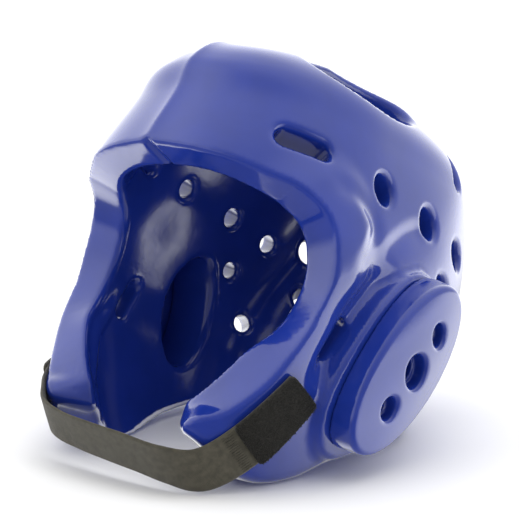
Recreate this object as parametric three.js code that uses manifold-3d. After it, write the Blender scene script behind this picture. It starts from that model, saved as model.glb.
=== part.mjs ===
// Dipped-foam head guard with an open face, ear pads and an elastic chin strap.
// Millimetres. +X is the wearer's left, -Y is forward, +Z is up, and z = 0 is the surface it rests on.
// The form is drawn in the head's own frame, then leant back to the pose in which the guard rests.

import * as THREE from "three";
import { mergeVertices } from "three/addons/utils/BufferGeometryUtils.js";
import Module from "manifold-3d";

const wasm = await Module();
wasm.setup();

// Driving sizes
const REST_PITCH_DEG = 20;
const REST_LIFT = 97;
const REST_SHIFT = -20;
const WALL = 20;
const SEAT_GAP = 0.3;
const CUT_MARGIN = 12;
const FLOOR_SIZE = 600;

// Head form: one row for each level, with the half width and the front and back reach of its oval
const AXIS_Y = 5;
const LEVELS = [
  { height: -155, half: 52, front: -54, back: 82 },
  { height: -125, half: 69, front: -74, back: 95 },
  { height: -95, half: 81, front: -88, back: 105 },
  { height: -60, half: 90, front: -98, back: 115 },
  { height: -25, half: 94, front: -106, back: 125 },
  { height: 10, half: 93, front: -107, back: 135 },
  { height: 45, half: 85, front: -98, back: 142 },
  { height: 78, half: 78, front: -85, back: 143 },
  { height: 98, half: 70, front: -80, back: 131 },
  { height: 114, half: 54, front: -64, back: 114 },
  { height: 124, half: 37, front: -16, back: 82 },
  { height: 128, half: 0, front: AXIS_Y, back: AXIS_Y },
];
const OUTER_START = 0.7;
const APEX_TRIM = 0.12;
const SQUARE_FRONT = { low: 2.8, high: 1.7, ease: 3 };
const SQUARE_BACK = { low: 2.3, high: 4.0, ease: 1 };

// The forehead panels meet in a low keel on the middle line
const KEEL = { rise: 3, reach: 9.5, fade: 70 };

// Temple lobe of the outer face, placed in side view: half length, half width, lean, rise and edge softness
const LOBE = { y: -47, z: 16, long: 48, short: 40, lean: 20, rise: 4, soft: 0.5 };

// Plinth under each ear pad, which rises from a foot oval to a crest oval, both centred along its lean
const PLINTH = {
  y: 18,
  z: -40,
  lean: 30,
  rise: 6.5,
  foot: { along: -4, long: 68, short: 46 },
  crest: { along: 1, long: 60, short: 36.5 },
};

// Face opening: one row for each level of its edge, with the angle it reaches from the front and the angle
// by which the edge turns in through the wall
const FACE_EDGE = [
  { height: -150, droop: 0, reach: 25, turn: 4 },
  { height: -98, droop: 0, reach: 28, turn: 4 },
  { height: -80, droop: 0, reach: 35, turn: 12 },
  { height: -60, droop: 0, reach: 46, turn: 9 },
  { height: -38, droop: 0, reach: 57, turn: 1 },
  { height: -12, droop: 0, reach: 62, turn: 0 },
  { height: 16, droop: 6, reach: 61, turn: 0 },
  { height: 34, droop: 10, reach: 56, turn: 0 },
  { height: 44, droop: 11, reach: 46, turn: 0 },
];

// Lower rim: its height at each angle from the front, and how much lower its inner edge is trimmed
const RIM = [
  { angle: 0, height: -94 },
  { angle: 30, height: -98 },
  { angle: 46, height: -111 },
  { angle: 60, height: -115 },
  { angle: 74, height: -110 },
  { angle: 90, height: -97 },
  { angle: 104, height: -87 },
  { angle: 130, height: -73 },
  { angle: 180, height: -65 },
];
const RIM_INNER_DROP = 11;

// Vents of each side, placed in side view: length along the turn, width and turn
const SIDE_VENTS = [
  { y: -59, z: 59, length: 35, width: 12, turn: -14 },
  { y: -2, z: 53, length: 18, width: 18, turn: 0 },
  { y: 46, z: 48, length: 19, width: 19, turn: 0 },
  { y: 87, z: 40, length: 18, width: 18, turn: 0 },
  { y: 64, z: 14, length: 17, width: 17, turn: 0 },
  { y: 87, z: -23, length: 17, width: 17, turn: 0 },
  { y: -26, z: -35, length: 32, width: 6, turn: 63 },
];

// Vents of each side, placed in back view
const BACK_VENTS = [
  { x: 62, z: 41, length: 18, width: 18, turn: 0 },
  { x: 50, z: -6, length: 36, width: 10, turn: 51 },
  { x: 64, z: 97, length: 34, width: 12, turn: 120 },
];

const CROWN_OPENING = { x: 49, y: 6, length: 94, width: 51 };
const EAR_HOLE = { y: 25, z: -28, length: 70, width: 38, turn: 75 };

// Ear pad: its wall flares towards its foot, on the sides and the upper end but not on the lower one
const EAR_PAD = { y: 18, z: -40, length: 111, width: 60, lean: 30, flare: 5 };
const EAR_PAD_ROWS = [
  { out: -18, inset: 0 },
  { out: 0, inset: 0 },
  { out: 6, inset: 0 },
  { out: 11.5, inset: 0 },
  { out: 13.2, inset: 1.2 },
  { out: 14.4, inset: 4.5 },
  { out: 15.4, inset: 12 },
];
const EAR_PAD_CROWN = 16;
const EAR_PAD_HOLES = [
  { along: -26, width: 12 },
  { along: 0, width: 18 },
  { along: 26, width: 12 },
];

// Chin strap: the middle line of the webbing in the resting pose, from the left cheek to the right
const STRAP = { width: 25, thick: 1.6, lean: 26, seat: 1.1, from: 0, to: 0.965, steps: 44 };
const BAND_ACROSS = 4;
const BAND_GAP = 0.5;
const STRAP_ROUTE = [
  { x: 91, y: -81, z: 51, hug: 1 },
  { x: 74, y: -106, z: 27, hug: 1 },
  { x: 60, y: -122, z: 17, hug: 0.5 },
  { x: 42, y: -130, z: 16, hug: 0 },
  { x: 20, y: -133, z: 18, hug: 0 },
  { x: 0, y: -134, z: 19, hug: 0 },
  { x: -25, y: -134, z: 24, hug: 0 },
  { x: -47, y: -132, z: 31, hug: 0.5 },
  { x: -60, y: -120, z: 36, hug: 1 },
  { x: -73, y: -105, z: 38, hug: 1 },
  { x: -84, y: -84, z: 39, hug: 1 },
];
const TAB = { width: 27, thick: 2.4, from: -0.004, to: 0.165, steps: 10 };
const ANCHOR = { width: 27, thick: 2.4, from: 0.9, to: 1.004, steps: 7 };

// How finely the curves are divided
const ROUND = { form: 50, formRows: 24, vent: 5, slot: 3, oval: 9, pad: 32, rimRows: 2, face: 13 };

const PAINT = {
  shell: { color: 0x2438a8, roughness: 0.2, metalness: 0 },
  pad: { color: 0x2a3fae, roughness: 0.2, metalness: 0 },
  strap: { color: 0x3d3a30, roughness: 0.9, metalness: 0 },
  tab: { color: 0x24231f, roughness: 1, metalness: 0 },
};

const { clamp, degToRad, lerp, radToDeg, smoothstep } = THREE.MathUtils;
const LAST_LEVEL = LEVELS.length - 1;
const BACKWARD = new THREE.Vector3(0, 1, 0);
const WELD = 1e-4;
const SLOPE_STEP = 1e-3;
const LEAST_REACH = 1e-6;
const HALVINGS = 40;

// Solids and meshes

function toSolid(geometry) {
  const bare = geometry.clone();
  bare.deleteAttribute("normal");
  bare.deleteAttribute("uv");
  const merged = mergeVertices(bare, WELD);
  const vertProperties = new Float32Array(merged.attributes.position.array);
  const triVerts = new Uint32Array(merged.index.array);
  if (signedVolume(vertProperties, triVerts) < 0) {
    for (let i = 0; i < triVerts.length; i += 3) {
      [triVerts[i], triVerts[i + 1]] = [triVerts[i + 1], triVerts[i]];
    }
  }
  return new wasm.Manifold(new wasm.Mesh({ numProp: 3, vertProperties, triVerts }));
}

function signedVolume(points, triangles) {
  const corner = (i) => new THREE.Vector3().fromArray(points, 3 * triangles[i]);
  let volume = 0;
  for (let i = 0; i < triangles.length; i += 3) {
    volume += corner(i).dot(corner(i + 1).cross(corner(i + 2))) / 6;
  }
  return volume;
}

function toGeometry(solid) {
  const mesh = solid.getMesh();
  const geometry = new THREE.BufferGeometry();
  geometry.setAttribute("position", new THREE.BufferAttribute(mesh.vertProperties, 3));
  geometry.setIndex(new THREE.BufferAttribute(mesh.triVerts, 1));
  return geometry;
}

// Closed body through rings of equal count: its ends are fans, strips of a folded ring, or joined in a loop
function loft(rings, ends) {
  const count = rings[0].length;
  const points = rings.flat();
  const faces = [];
  const quad = (a, b, c, d) => faces.push(a, b, c, a, c, d);
  const spans = ends === "loop" ? rings.length : rings.length - 1;
  for (let r = 0; r < spans; r += 1) {
    const here = r * count;
    const next = ((r + 1) % rings.length) * count;
    for (let i = 0; i < count; i += 1) {
      const j = (i + 1) % count;
      quad(here + i, here + j, next + j, next + i);
    }
  }
  if (ends === "strip") {
    const lastRing = (rings.length - 1) * count;
    for (let i = 0; i < count / 2 - 1; i += 1) {
      quad(i + 1, i, count - 1 - i, count - 2 - i);
      quad(lastRing + i, lastRing + i + 1, lastRing + count - 2 - i, lastRing + count - 1 - i);
    }
  }
  if (ends === "fan") {
    [0, rings.length - 1].forEach((r) => {
      const middle = new THREE.Vector3();
      rings[r].forEach((point) => middle.addScaledVector(point, 1 / count));
      const hub = points.push(middle) - 1;
      for (let i = 0; i < count; i += 1) {
        const edge = [r * count + i, r * count + ((i + 1) % count)];
        faces.push(hub, ...(r === 0 ? edge.reverse() : edge));
      }
    });
  }
  const geometry = new THREE.BufferGeometry().setFromPoints(points);
  geometry.setIndex(faces);
  return geometry;
}

// Head form

function spline(a, b, c, d, t) {
  const bend = 2 * a - 5 * b + 4 * c - d;
  const twist = 3 * b - a - 3 * c + d;
  return 0.5 * (2 * b + (c - a) * t + bend * t ** 2 + twist * t ** 3);
}

function rowValue(row, key) {
  if (row < 0) {
    return 2 * LEVELS[0][key] - LEVELS[1][key];
  }
  if (row <= LAST_LEVEL) {
    return LEVELS[row][key];
  }
  const before = LEVELS[LAST_LEVEL - 1][key];
  return key === "height" ? before : 2 * LEVELS[LAST_LEVEL][key] - before;
}

function levelAt(v) {
  const row = clamp(Math.floor(v), 0, LAST_LEVEL - 1);
  const at = (key) => {
    const near = [-1, 0, 1, 2].map((step) => rowValue(row + step, key));
    return spline(...near, v - row);
  };
  return { height: at("height"), half: at("half"), front: at("front"), back: at("back") };
}

function bisect(low, high, isBelow) {
  let [a, b] = [low, high];
  for (let i = 0; i < HALVINGS; i += 1) {
    const middle = (a + b) / 2;
    [a, b] = isBelow(middle) ? [middle, b] : [a, middle];
  }
  return (a + b) / 2;
}

function rowOfHeight(height) {
  return bisect(0, LAST_LEVEL, (v) => levelAt(v).height < height);
}

// Point of the plain oval form, at an angle from the front towards the left
function formPoint(phi, v) {
  const level = levelAt(v);
  const ahead = Math.cos(phi) >= 0;
  const square = ahead ? SQUARE_FRONT : SQUARE_BACK;
  const power = lerp(square.low, square.high, clamp(v / LAST_LEVEL, 0, 1) ** square.ease);
  const reach = ahead ? AXIS_Y - level.front : level.back - AXIS_Y;
  const sideways = Math.abs(Math.sin(phi) / Math.max(level.half, LEAST_REACH)) ** power;
  const endways = Math.abs(Math.cos(phi) / Math.max(reach, LEAST_REACH)) ** power;
  const radius = (sideways + endways) ** (-1 / power);
  return new THREE.Vector3(radius * Math.sin(phi), AXIS_Y - radius * Math.cos(phi), level.height);
}

function formNormal(phi, v) {
  const high = Math.min(v + SLOPE_STEP, LAST_LEVEL - SLOPE_STEP);
  const low = Math.max(Math.min(v, high) - SLOPE_STEP, 0);
  const level = Math.min(v, high);
  const around = formPoint(phi + SLOPE_STEP, level).sub(formPoint(phi - SLOPE_STEP, level));
  const upward = formPoint(phi, high).sub(formPoint(phi, low));
  return around.cross(upward).normalize();
}

// Place of a point in side view along and across a leant shape
function leant(point, shape) {
  const [sin, cos] = [Math.sin(degToRad(shape.lean)), Math.cos(degToRad(shape.lean))];
  const [dy, dz] = [point.y - shape.y, point.z - shape.z];
  return { along: dy * sin + dz * cos, across: dy * cos - dz * sin };
}

function plinthAt(point) {
  const { along, across } = leant(point, PLINTH);
  const far = (oval) => Math.hypot((along - oval.along) / oval.long, across / oval.short);
  const below = 1 - far(PLINTH.foot);
  const beyond = far(PLINTH.crest) - 1;
  if (below <= 0) {
    return 0;
  }
  return PLINTH.rise * (beyond <= 0 ? 1 : smoothstep(below / (below + beyond), 0, 1));
}

function swellAt(point) {
  const keel = KEEL.rise * Math.exp(-Math.abs(point.x) / KEEL.reach);
  const { along, across } = leant(point, LOBE);
  const far = Math.hypot(along / LOBE.long, across / LOBE.short);
  const lobe = LOBE.rise * smoothstep(1 - far, 0, LOBE.soft);
  return keel * clamp((AXIS_Y - point.y) / KEEL.fade, 0, 1) + lobe + plinthAt(point);
}

function offsetPoint(phi, v, out) {
  return formPoint(phi, v).addScaledVector(formNormal(phi, v), out);
}

function outerPoint(phi, v, out) {
  return offsetPoint(phi, v, out + swellAt(formPoint(phi, v)));
}

function formSolid(pointAt, startRow, apex) {
  const rings = [];
  for (let r = 0; r < ROUND.formRows; r += 1) {
    const v = lerp(startRow, LAST_LEVEL - APEX_TRIM, r / (ROUND.formRows - 1));
    rings.push(Array.from({ length: ROUND.form }, (_, i) => pointAt((2 * Math.PI * i) / ROUND.form, v)));
  }
  const middleTop = new THREE.Vector3(0, AXIS_Y, LEVELS[LAST_LEVEL].height + apex);
  const geometry = loft(rings, "fan");
  const points = geometry.attributes.position;
  points.setXYZ(points.count - 1, middleTop.x, middleTop.y, middleTop.z);
  return toSolid(geometry);
}

// Cutters

function tableAt(rows, key, value, wanted) {
  const last = rows.length - 1;
  const beyond = rows.findIndex((row) => row[key] > value);
  const after = beyond < 0 ? last : Math.max(beyond, 1);
  const t = clamp((value - rows[after - 1][key]) / (rows[after][key] - rows[after - 1][key]), 0, 1);
  const near = [after - 2, after - 1, after, after + 1].map((i) => rows[clamp(i, 0, last)][wanted]);
  return spline(...near, t);
}

function faceCutter() {
  const outside = WALL;
  const inside = -(WALL + CUT_MARGIN);
  const rowCount = 2 * ROUND.face;
  const columnCount = ROUND.face;
  const indexed = FACE_EDGE.map((row, index) => ({ ...row, index }));
  const rings = [];
  for (let r = 0; r <= rowCount; r += 1) {
    const index = (r / rowCount) * (FACE_EDGE.length - 1);
    const edge = (key) => tableAt(indexed, "index", index, key);
    const pointAt = (c, out) => {
      const across = (2 * c) / columnCount - 1;
      const height = edge("height") - edge("droop") * across ** 2;
      const reach = edge("reach") + (edge("turn") * out) / WALL;
      return offsetPoint(degToRad(across * reach), rowOfHeight(height), out);
    };
    const columns = Array.from({ length: columnCount + 1 }, (_, c) => c);
    const outer = columns.map((c) => pointAt(c, outside));
    const inner = columns.map((c) => pointAt(c, inside)).reverse();
    rings.push([...outer, ...inner]);
  }
  return toSolid(loft(rings, "strip"));
}

function rimCutter() {
  const rings = [];
  for (let i = 0; i < ROUND.form; i += 1) {
    const phi = (2 * Math.PI * (i + 0.5)) / ROUND.form;
    const angle = Math.abs(radToDeg(Math.atan2(Math.sin(phi), Math.cos(phi))));
    const height = tableAt(RIM, "angle", angle, "height");
    const pointAt = (row, out) => {
      const top = rowOfHeight(height + (RIM_INNER_DROP * out) / WALL);
      return offsetPoint(phi, lerp(top, 0, row / ROUND.rimRows), out);
    };
    const rows = Array.from({ length: ROUND.rimRows + 1 }, (_, row) => row);
    const outer = rows.map((row) => pointAt(row, CUT_MARGIN));
    const inner = rows.map((row) => pointAt(row, -(WALL + CUT_MARGIN))).reverse();
    rings.push([...outer, ...inner]);
  }
  return toSolid(loft(rings, "loop"));
}

// Prism through the wall, square to it at a spot, with its length along a given direction
function ventCutter(spot, shape, along, segments) {
  const depth = 2 * WALL + 2 * CUT_MARGIN;
  const normal = formNormal(spot.phi, spot.v);
  const lengthways = along.clone().addScaledVector(normal, -along.dot(normal)).normalize();
  const crossways = normal.clone().cross(lengthways);
  const place = new THREE.Matrix4().makeBasis(lengthways, crossways, normal);
  place.setPosition(offsetPoint(spot.phi, spot.v, -WALL - CUT_MARGIN));
  const prism = new THREE.ExtrudeGeometry(shape, { depth, bevelEnabled: false, curveSegments: segments });
  return prism.applyMatrix4(place);
}

function ventShape({ length, width }) {
  const shape = new THREE.Shape();
  const radius = width / 2;
  const half = length / 2 - radius;
  if (half > 0) {
    shape.absarc(half, 0, radius, -Math.PI / 2, Math.PI / 2);
    shape.absarc(-half, 0, radius, Math.PI / 2, (3 * Math.PI) / 2);
    shape.closePath();
  } else {
    shape.absarc(0, 0, radius, 0, 2 * Math.PI);
  }
  return shape;
}

function ovalShape({ length, width }) {
  return new THREE.Shape().absellipse(0, 0, length / 2, width / 2, 0, 2 * Math.PI);
}

function sideSpot(y, z) {
  const v = rowOfHeight(z);
  return { v, phi: bisect(0, Math.PI, (phi) => formPoint(phi, v).y < y) };
}

function backSpot(x, z) {
  const v = rowOfHeight(z);
  return { v, phi: bisect(Math.PI / 2, Math.PI, (phi) => formPoint(phi, v).x > x) };
}

function crownSpot(x, y) {
  const phi = Math.atan2(x, AXIS_Y - y);
  const reach = Math.hypot(x, AXIS_Y - y);
  const flat = (v) => Math.hypot(formPoint(phi, v).x, formPoint(phi, v).y - AXIS_Y);
  return { phi, v: bisect(LAST_LEVEL / 2, LAST_LEVEL, (v) => flat(v) > reach) };
}

function leftCutters() {
  const segments = (vent) => (vent.length > vent.width ? ROUND.slot : ROUND.vent);
  const sideways = (turn) => new THREE.Vector3(0, Math.cos(degToRad(turn)), Math.sin(degToRad(turn)));
  const behind = (turn) => new THREE.Vector3(Math.cos(degToRad(turn)), 0, Math.sin(degToRad(turn)));
  const side = SIDE_VENTS.map((vent) =>
    ventCutter(sideSpot(vent.y, vent.z), ventShape(vent), sideways(vent.turn), segments(vent)),
  );
  const back = BACK_VENTS.map((vent) =>
    ventCutter(backSpot(vent.x, vent.z), ventShape(vent), behind(vent.turn), segments(vent)),
  );
  const crown = CROWN_OPENING;
  const earSpot = sideSpot(EAR_HOLE.y, EAR_HOLE.z);
  return [
    ...side,
    ...back,
    ventCutter(crownSpot(crown.x, crown.y), ovalShape(crown), BACKWARD, ROUND.oval),
    ventCutter(earSpot, ovalShape(EAR_HOLE), sideways(EAR_HOLE.turn), ROUND.oval),
  ];
}

// Resting pose

const RESTING = new THREE.Matrix4()
  .makeTranslation(0, REST_SHIFT, REST_LIFT)
  .multiply(new THREE.Matrix4().makeRotationX(degToRad(-REST_PITCH_DEG)));
const UPRIGHT = RESTING.clone().invert();

function floorCutter() {
  const block = new THREE.BoxGeometry(FLOOR_SIZE, FLOOR_SIZE, FLOOR_SIZE);
  return toSolid(block.translate(0, 0, -FLOOR_SIZE / 2));
}

// Pieces

function shellSolid() {
  let shell = formSolid((phi, v) => outerPoint(phi, v, 0), OUTER_START, 0);
  shell = shell.subtract(formSolid((phi, v) => offsetPoint(phi, v, -WALL), 0, -WALL));
  shell = shell.subtract(faceCutter()).subtract(rimCutter());
  leftCutters().forEach((cutter) => {
    shell = shell.subtract(toSolid(cutter));
    shell = shell.subtract(toSolid(cutter.clone().scale(-1, 1, 1)));
  });
  return toSolid(toGeometry(shell).applyMatrix4(RESTING)).subtract(floorCutter());
}

function earPadSolid(mirror) {
  const spot = sideSpot(EAR_PAD.y, EAR_PAD.z);
  const normal = formNormal(spot.phi, spot.v);
  const lean = degToRad(EAR_PAD.lean);
  const along = new THREE.Vector3(0, Math.sin(lean), Math.cos(lean));
  along.addScaledVector(normal, -along.dot(normal)).normalize();
  const across = normal.clone().cross(along);
  const place = new THREE.Matrix4().makeBasis(along, across, normal);
  place.setPosition(outerPoint(spot.phi, spot.v, 0));
  const rings = EAR_PAD_ROWS.map(({ out, inset }) => {
    const flare = EAR_PAD.flare * clamp(1 - out / EAR_PAD_CROWN, 0, 1);
    const long = (EAR_PAD.length + flare) / 2 - inset;
    const short = EAR_PAD.width / 2 + flare - inset;
    return Array.from({ length: ROUND.pad }, (_, i) => {
      const turn = (2 * Math.PI * i) / ROUND.pad;
      return new THREE.Vector3(long * Math.cos(turn) + flare / 2, short * Math.sin(turn), out);
    });
  });
  const body = loft(rings, "fan");
  const points = body.attributes.position;
  points.setXYZ(points.count - 1, 0, 0, EAR_PAD_CROWN);
  let pad = toSolid(body);
  EAR_PAD_HOLES.forEach(({ along: offset, width }) => {
    const shape = new THREE.Shape().absarc(offset, 0, width / 2, 0, 2 * Math.PI);
    const depth = 2 * WALL;
    const hole = new THREE.ExtrudeGeometry(shape, { depth, bevelEnabled: false, curveSegments: ROUND.vent });
    pad = pad.subtract(toSolid(hole.translate(0, 0, -WALL)));
  });
  const placed = toSolid(toGeometry(pad).applyMatrix4(place).scale(mirror, 1, 1));
  const seated = placed.subtract(formSolid((phi, v) => outerPoint(phi, v, SEAT_GAP), OUTER_START, SEAT_GAP));
  return toSolid(toGeometry(seated).applyMatrix4(RESTING));
}

// Draws a point of the resting pose towards a given clearance over the head form, by a share of the way
function seatOnForm(point, clearance, share) {
  const upright = point.clone().applyMatrix4(UPRIGHT);
  const v = rowOfHeight(upright.z);
  const phi = Math.atan2(upright.x, AXIS_Y - upright.y);
  const normal = formNormal(phi, v);
  const short = clearance - upright.clone().sub(outerPoint(phi, v, 0)).dot(normal);
  return upright.addScaledVector(normal, short * share).applyMatrix4(RESTING);
}

// Band along a stretch of the strap's route, lifted square off the line of the strap's under face
function bandSolid({ width, thick, from, to, lift, steps }) {
  const route = new THREE.CatmullRomCurve3(STRAP_ROUTE.map(({ x, y, z }) => new THREE.Vector3(x, y, z)));
  const lean = degToRad(STRAP.lean);
  const upward = new THREE.Vector3(0, -Math.sin(lean), Math.cos(lean));
  const pointAt = (share) => {
    const inside = clamp(share, 0, 1);
    const past = (share - inside) * route.getLength();
    return route.getPointAt(inside).addScaledVector(route.getTangentAt(inside), past);
  };
  const rings = [];
  for (let s = 0; s <= steps; s += 1) {
    const share = lerp(from, to, s / steps);
    const tangent = route.getTangentAt(clamp(share, 0, 1));
    const across = upward.clone().addScaledVector(tangent, -upward.dot(tangent)).normalize();
    const middle = pointAt(share);
    const row = route.getUtoTmapping(clamp(share, 0, 1)) * (STRAP_ROUTE.length - 1);
    const before = Math.min(Math.floor(row), STRAP_ROUTE.length - 2);
    const hug = lerp(STRAP_ROUTE[before].hug, STRAP_ROUTE[before + 1].hug, row - before);
    const line = Array.from({ length: BAND_ACROSS + 1 }, (_, i) => {
      const offset = (i / BAND_ACROSS - 0.5) * width;
      return seatOnForm(middle.clone().addScaledVector(across, offset), STRAP.seat, hug);
    });
    const chord = line[BAND_ACROSS].clone().sub(line[0]).normalize();
    const outward = chord.clone().cross(tangent).normalize();
    const raised = (rise) => line.map((point) => point.clone().addScaledVector(outward, rise));
    rings.push([...raised(lift), ...raised(lift + thick).reverse()]);
  }
  return toSolid(loft(rings, "strip"));
}

function named(name, solid, paint) {
  const mesh = new THREE.Mesh(toGeometry(solid), new THREE.MeshStandardMaterial(paint));
  mesh.name = name;
  return mesh;
}

const overStrap = STRAP.thick + BAND_GAP;

const padding = new THREE.Group();
padding.add(named("shell", shellSolid(), PAINT.shell));
padding.add(named("ear_pad_left", earPadSolid(1), PAINT.pad));
padding.add(named("ear_pad_right", earPadSolid(-1), PAINT.pad));

const harness = new THREE.Group();
harness.add(named("chin_strap", bandSolid({ ...STRAP, lift: 0 }), PAINT.strap));
harness.add(named("closure_tab", bandSolid({ ...TAB, lift: overStrap }), PAINT.tab));
harness.add(named("strap_anchor", bandSolid({ ...ANCHOR, lift: overStrap }), PAINT.strap));

const guard = new THREE.Group();
guard.add(padding, harness);

export default guard;
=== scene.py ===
"""Dresses the dipped-foam head guard: shell, ear pads, chin strap, closure tab and strap anchor.

Tables are in millimetres and Blender meshes in metres. The form is drawn in the head's own frame, +X to the
wearer's left and -Y forward, and is then leant back to the pose in which the guard rests.
"""

import logging
import math
from dataclasses import dataclass, field
from enum import Enum
from typing import Sequence

import bpy
import numpy as np
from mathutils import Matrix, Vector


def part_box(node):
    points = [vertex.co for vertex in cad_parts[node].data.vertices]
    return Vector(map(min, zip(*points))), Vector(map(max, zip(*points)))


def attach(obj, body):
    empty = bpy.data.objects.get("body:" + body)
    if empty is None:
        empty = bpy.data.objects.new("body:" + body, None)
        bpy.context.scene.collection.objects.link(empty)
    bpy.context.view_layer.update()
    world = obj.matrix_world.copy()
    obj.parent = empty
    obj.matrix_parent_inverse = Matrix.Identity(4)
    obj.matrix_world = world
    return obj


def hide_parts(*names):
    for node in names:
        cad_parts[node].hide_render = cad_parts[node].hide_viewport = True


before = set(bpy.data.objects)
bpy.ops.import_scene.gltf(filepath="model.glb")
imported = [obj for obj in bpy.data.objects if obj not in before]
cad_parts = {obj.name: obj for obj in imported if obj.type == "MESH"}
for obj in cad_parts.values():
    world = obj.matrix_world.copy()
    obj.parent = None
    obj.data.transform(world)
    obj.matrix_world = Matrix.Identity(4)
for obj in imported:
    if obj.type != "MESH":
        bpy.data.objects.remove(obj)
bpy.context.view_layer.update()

import openvdb
from mathutils import Vector
from numpy.typing import NDArray

Array = NDArray[np.float64]
Axes = tuple[Array, Array, Array, Array]
Colour = tuple[float, float, float, float]
Window = tuple[slice, slice, slice]

LOG = logging.getLogger("head_guard")
MM = 0.001
BODY = "root"
WHITE: Colour = (1.0, 1.0, 1.0, 1.0)
TINY = 1e-9


class Side(Enum):
    """Side of the wearer's head, as the sign of X."""

    LEFT = 1
    RIGHT = -1


class SeenFrom(Enum):
    """View in which a vent's place is given."""

    SIDE = "side"
    BACK = "back"


# Small geometry helpers


def smooth_step(value: Array, low: float, high: float) -> Array:
    """Ease from 0 at low to 1 at high.

    Args:
        value: Values to ease.
        low: Value that gives 0.
        high: Value that gives 1.

    Returns:
        Eased values between 0 and 1.
    """
    share = np.clip((value - low) / (high - low), 0.0, 1.0)
    return share * share * (3.0 - 2.0 * share)


def round_max(first: Array, second: Array, radius: float) -> Array:
    """Meet two distance fields with a rounded convex edge.

    Args:
        first: Distance field, negative inside.
        second: Distance field, negative inside.
        radius: Radius of the edge.

    Returns:
        Distance field of what lies inside both.
    """
    corner = np.hypot(np.maximum(radius + first, 0.0), np.maximum(radius + second, 0.0))
    return np.minimum(-radius, np.maximum(first, second)) + corner


def mix(first: Array, second: Array, share: Array) -> Array:
    """Pass from first values to second ones by a share of the way."""
    return first * (1 - share) + second * share


def unit(vector: Array) -> Array:
    """Scale vectors along the last axis to length one."""
    return vector / np.maximum(np.linalg.norm(vector, axis=-1, keepdims=True), TINY)


def oval_distance(along: Array, across: Array, half_long: Array | float, half_short: Array | float) -> Array:
    """Give the distance to an oval, good close to its edge.

    Args:
        along: Coordinate along the long axis.
        across: Coordinate along the short axis.
        half_long: Half length.
        half_short: Half width.

    Returns:
        Signed distance, negative inside.
    """
    reach = np.hypot(along / half_long, across / half_short)
    slope = np.hypot(along / half_long**2, across / half_short**2)
    return reach * (reach - 1.0) / np.maximum(slope, TINY)


def pill_distance(along: Array, across: Array, length: float, width: float) -> Array:
    """Give the distance to a slot with round ends.

    Args:
        along: Coordinate along the slot.
        across: Coordinate across the slot.
        length: Length from end to end.
        width: Width of the slot.

    Returns:
        Signed distance, negative inside.
    """
    past = np.maximum(np.abs(along) - (length - width) / 2.0, 0.0)
    return np.hypot(past, across) - width / 2.0


def lean_axes(points: Array, y: float, z: float, lean: float) -> tuple[Array, Array]:
    """Give places in side view along and across a leaning axis.

    Args:
        points: Places in the head's frame.
        y: Depth of the axis's middle.
        z: Height of the axis's middle.
        lean: Backward lean of the axis in degrees.

    Returns:
        Coordinates along the axis and across it.
    """
    sin, cos = math.sin(math.radians(lean)), math.cos(math.radians(lean))
    dy = points[..., 1] - y
    dz = points[..., 2] - z
    return dy * sin + dz * cos, dy * cos - dz * sin


def run_lengths(line: Array) -> Array:
    """Give the length of a line up to each of its points."""
    return np.concatenate([[0.0], np.cumsum(np.linalg.norm(np.diff(line, axis=0), axis=1))])


def read_line(line: Array, run: Array, at: Array) -> Array:
    """Read the columns of a line at lengths along it."""
    return np.stack([np.interp(at, run, column) for column in line.T], -1)


def spline_points(stops: Array, count: int) -> Array:
    """Draw a smooth line through stops.

    Args:
        stops: Points that the line passes, one in each row.
        count: Number of points of the line.

    Returns:
        Points of the line.
    """
    padded = np.vstack([2 * stops[0] - stops[1], stops, 2 * stops[-1] - stops[-2]])
    place = np.linspace(0.0, len(stops) - 1.0, count)
    row = np.minimum(place.astype(int), len(stops) - 2)
    return spline_value(padded, row, (place - row)[:, None])


def spline_value(padded: Array, row: Array, share: Array) -> Array:
    """Evaluate the smooth curve through padded rows.

    Args:
        padded: Rows with one extra row before the first and after the last.
        row: Row that each value starts from.
        share: Share of the way to the next row.

    Returns:
        Values of the curve.
    """
    a, b, c, d = (padded[row + step] for step in range(4))
    bend = 2 * a - 5 * b + 4 * c - d
    twist = 3 * b - a - 3 * c + d
    return 0.5 * (2 * b + (c - a) * share + bend * share**2 + twist * share**3)


@dataclass
class Surface:
    """Mesh of quads and triangles in millimetres."""

    points: Array
    quads: NDArray[np.int64]
    triangles: NDArray[np.int64] = field(default_factory=lambda: np.zeros((0, 3), dtype=np.int64))

    def add_to_scene(self, name: str, normals: Array | None = None) -> bpy.types.Object:
        """Make a smooth-shaded Blender object.

        Args:
            name: Name of the object and its mesh.
            normals: Unit normals of the points, where they are known better than the facets give them.

        Returns:
            The new object.
        """
        mesh = bpy.data.meshes.new(name)
        mesh.from_pydata((self.points * MM).tolist(), [], self.quads.tolist() + self.triangles.tolist())
        mesh.shade_smooth()
        if normals is not None:
            mesh.normals_split_custom_set_from_vertices(normals.tolist())
        piece = bpy.data.objects.new(name, mesh)
        bpy.context.scene.collection.objects.link(piece)
        return piece


def ring_quads(rings: int, count: int, loop: bool = False) -> NDArray[np.int64]:
    """Join neighbouring rings of points with quads.

    Args:
        rings: Number of rings.
        count: Number of points in each ring.
        loop: Whether the last ring joins the first.

    Returns:
        Quads as rows of point numbers.
    """
    spans = rings if loop else rings - 1
    r, i = np.meshgrid(np.arange(spans), np.arange(count), indexing="ij")
    j = (i + 1) % count
    here = r * count
    there = (r + 1) % rings * count
    return np.stack([here + i, here + j, there + j, there + i], -1).reshape(-1, 4)


def strip_caps(rings: int, count: int) -> NDArray[np.int64]:
    """Close both ends of a loft whose rings are folded bands.

    Args:
        rings: Number of rings.
        count: Number of points in each ring.

    Returns:
        Quads of both ends.
    """
    i = np.arange(count // 2 - 1)
    first = np.stack([i + 1, i, count - 1 - i, count - 2 - i], -1)
    return np.vstack([first, first[:, ::-1] + (rings - 1) * count])


# Head form


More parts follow.
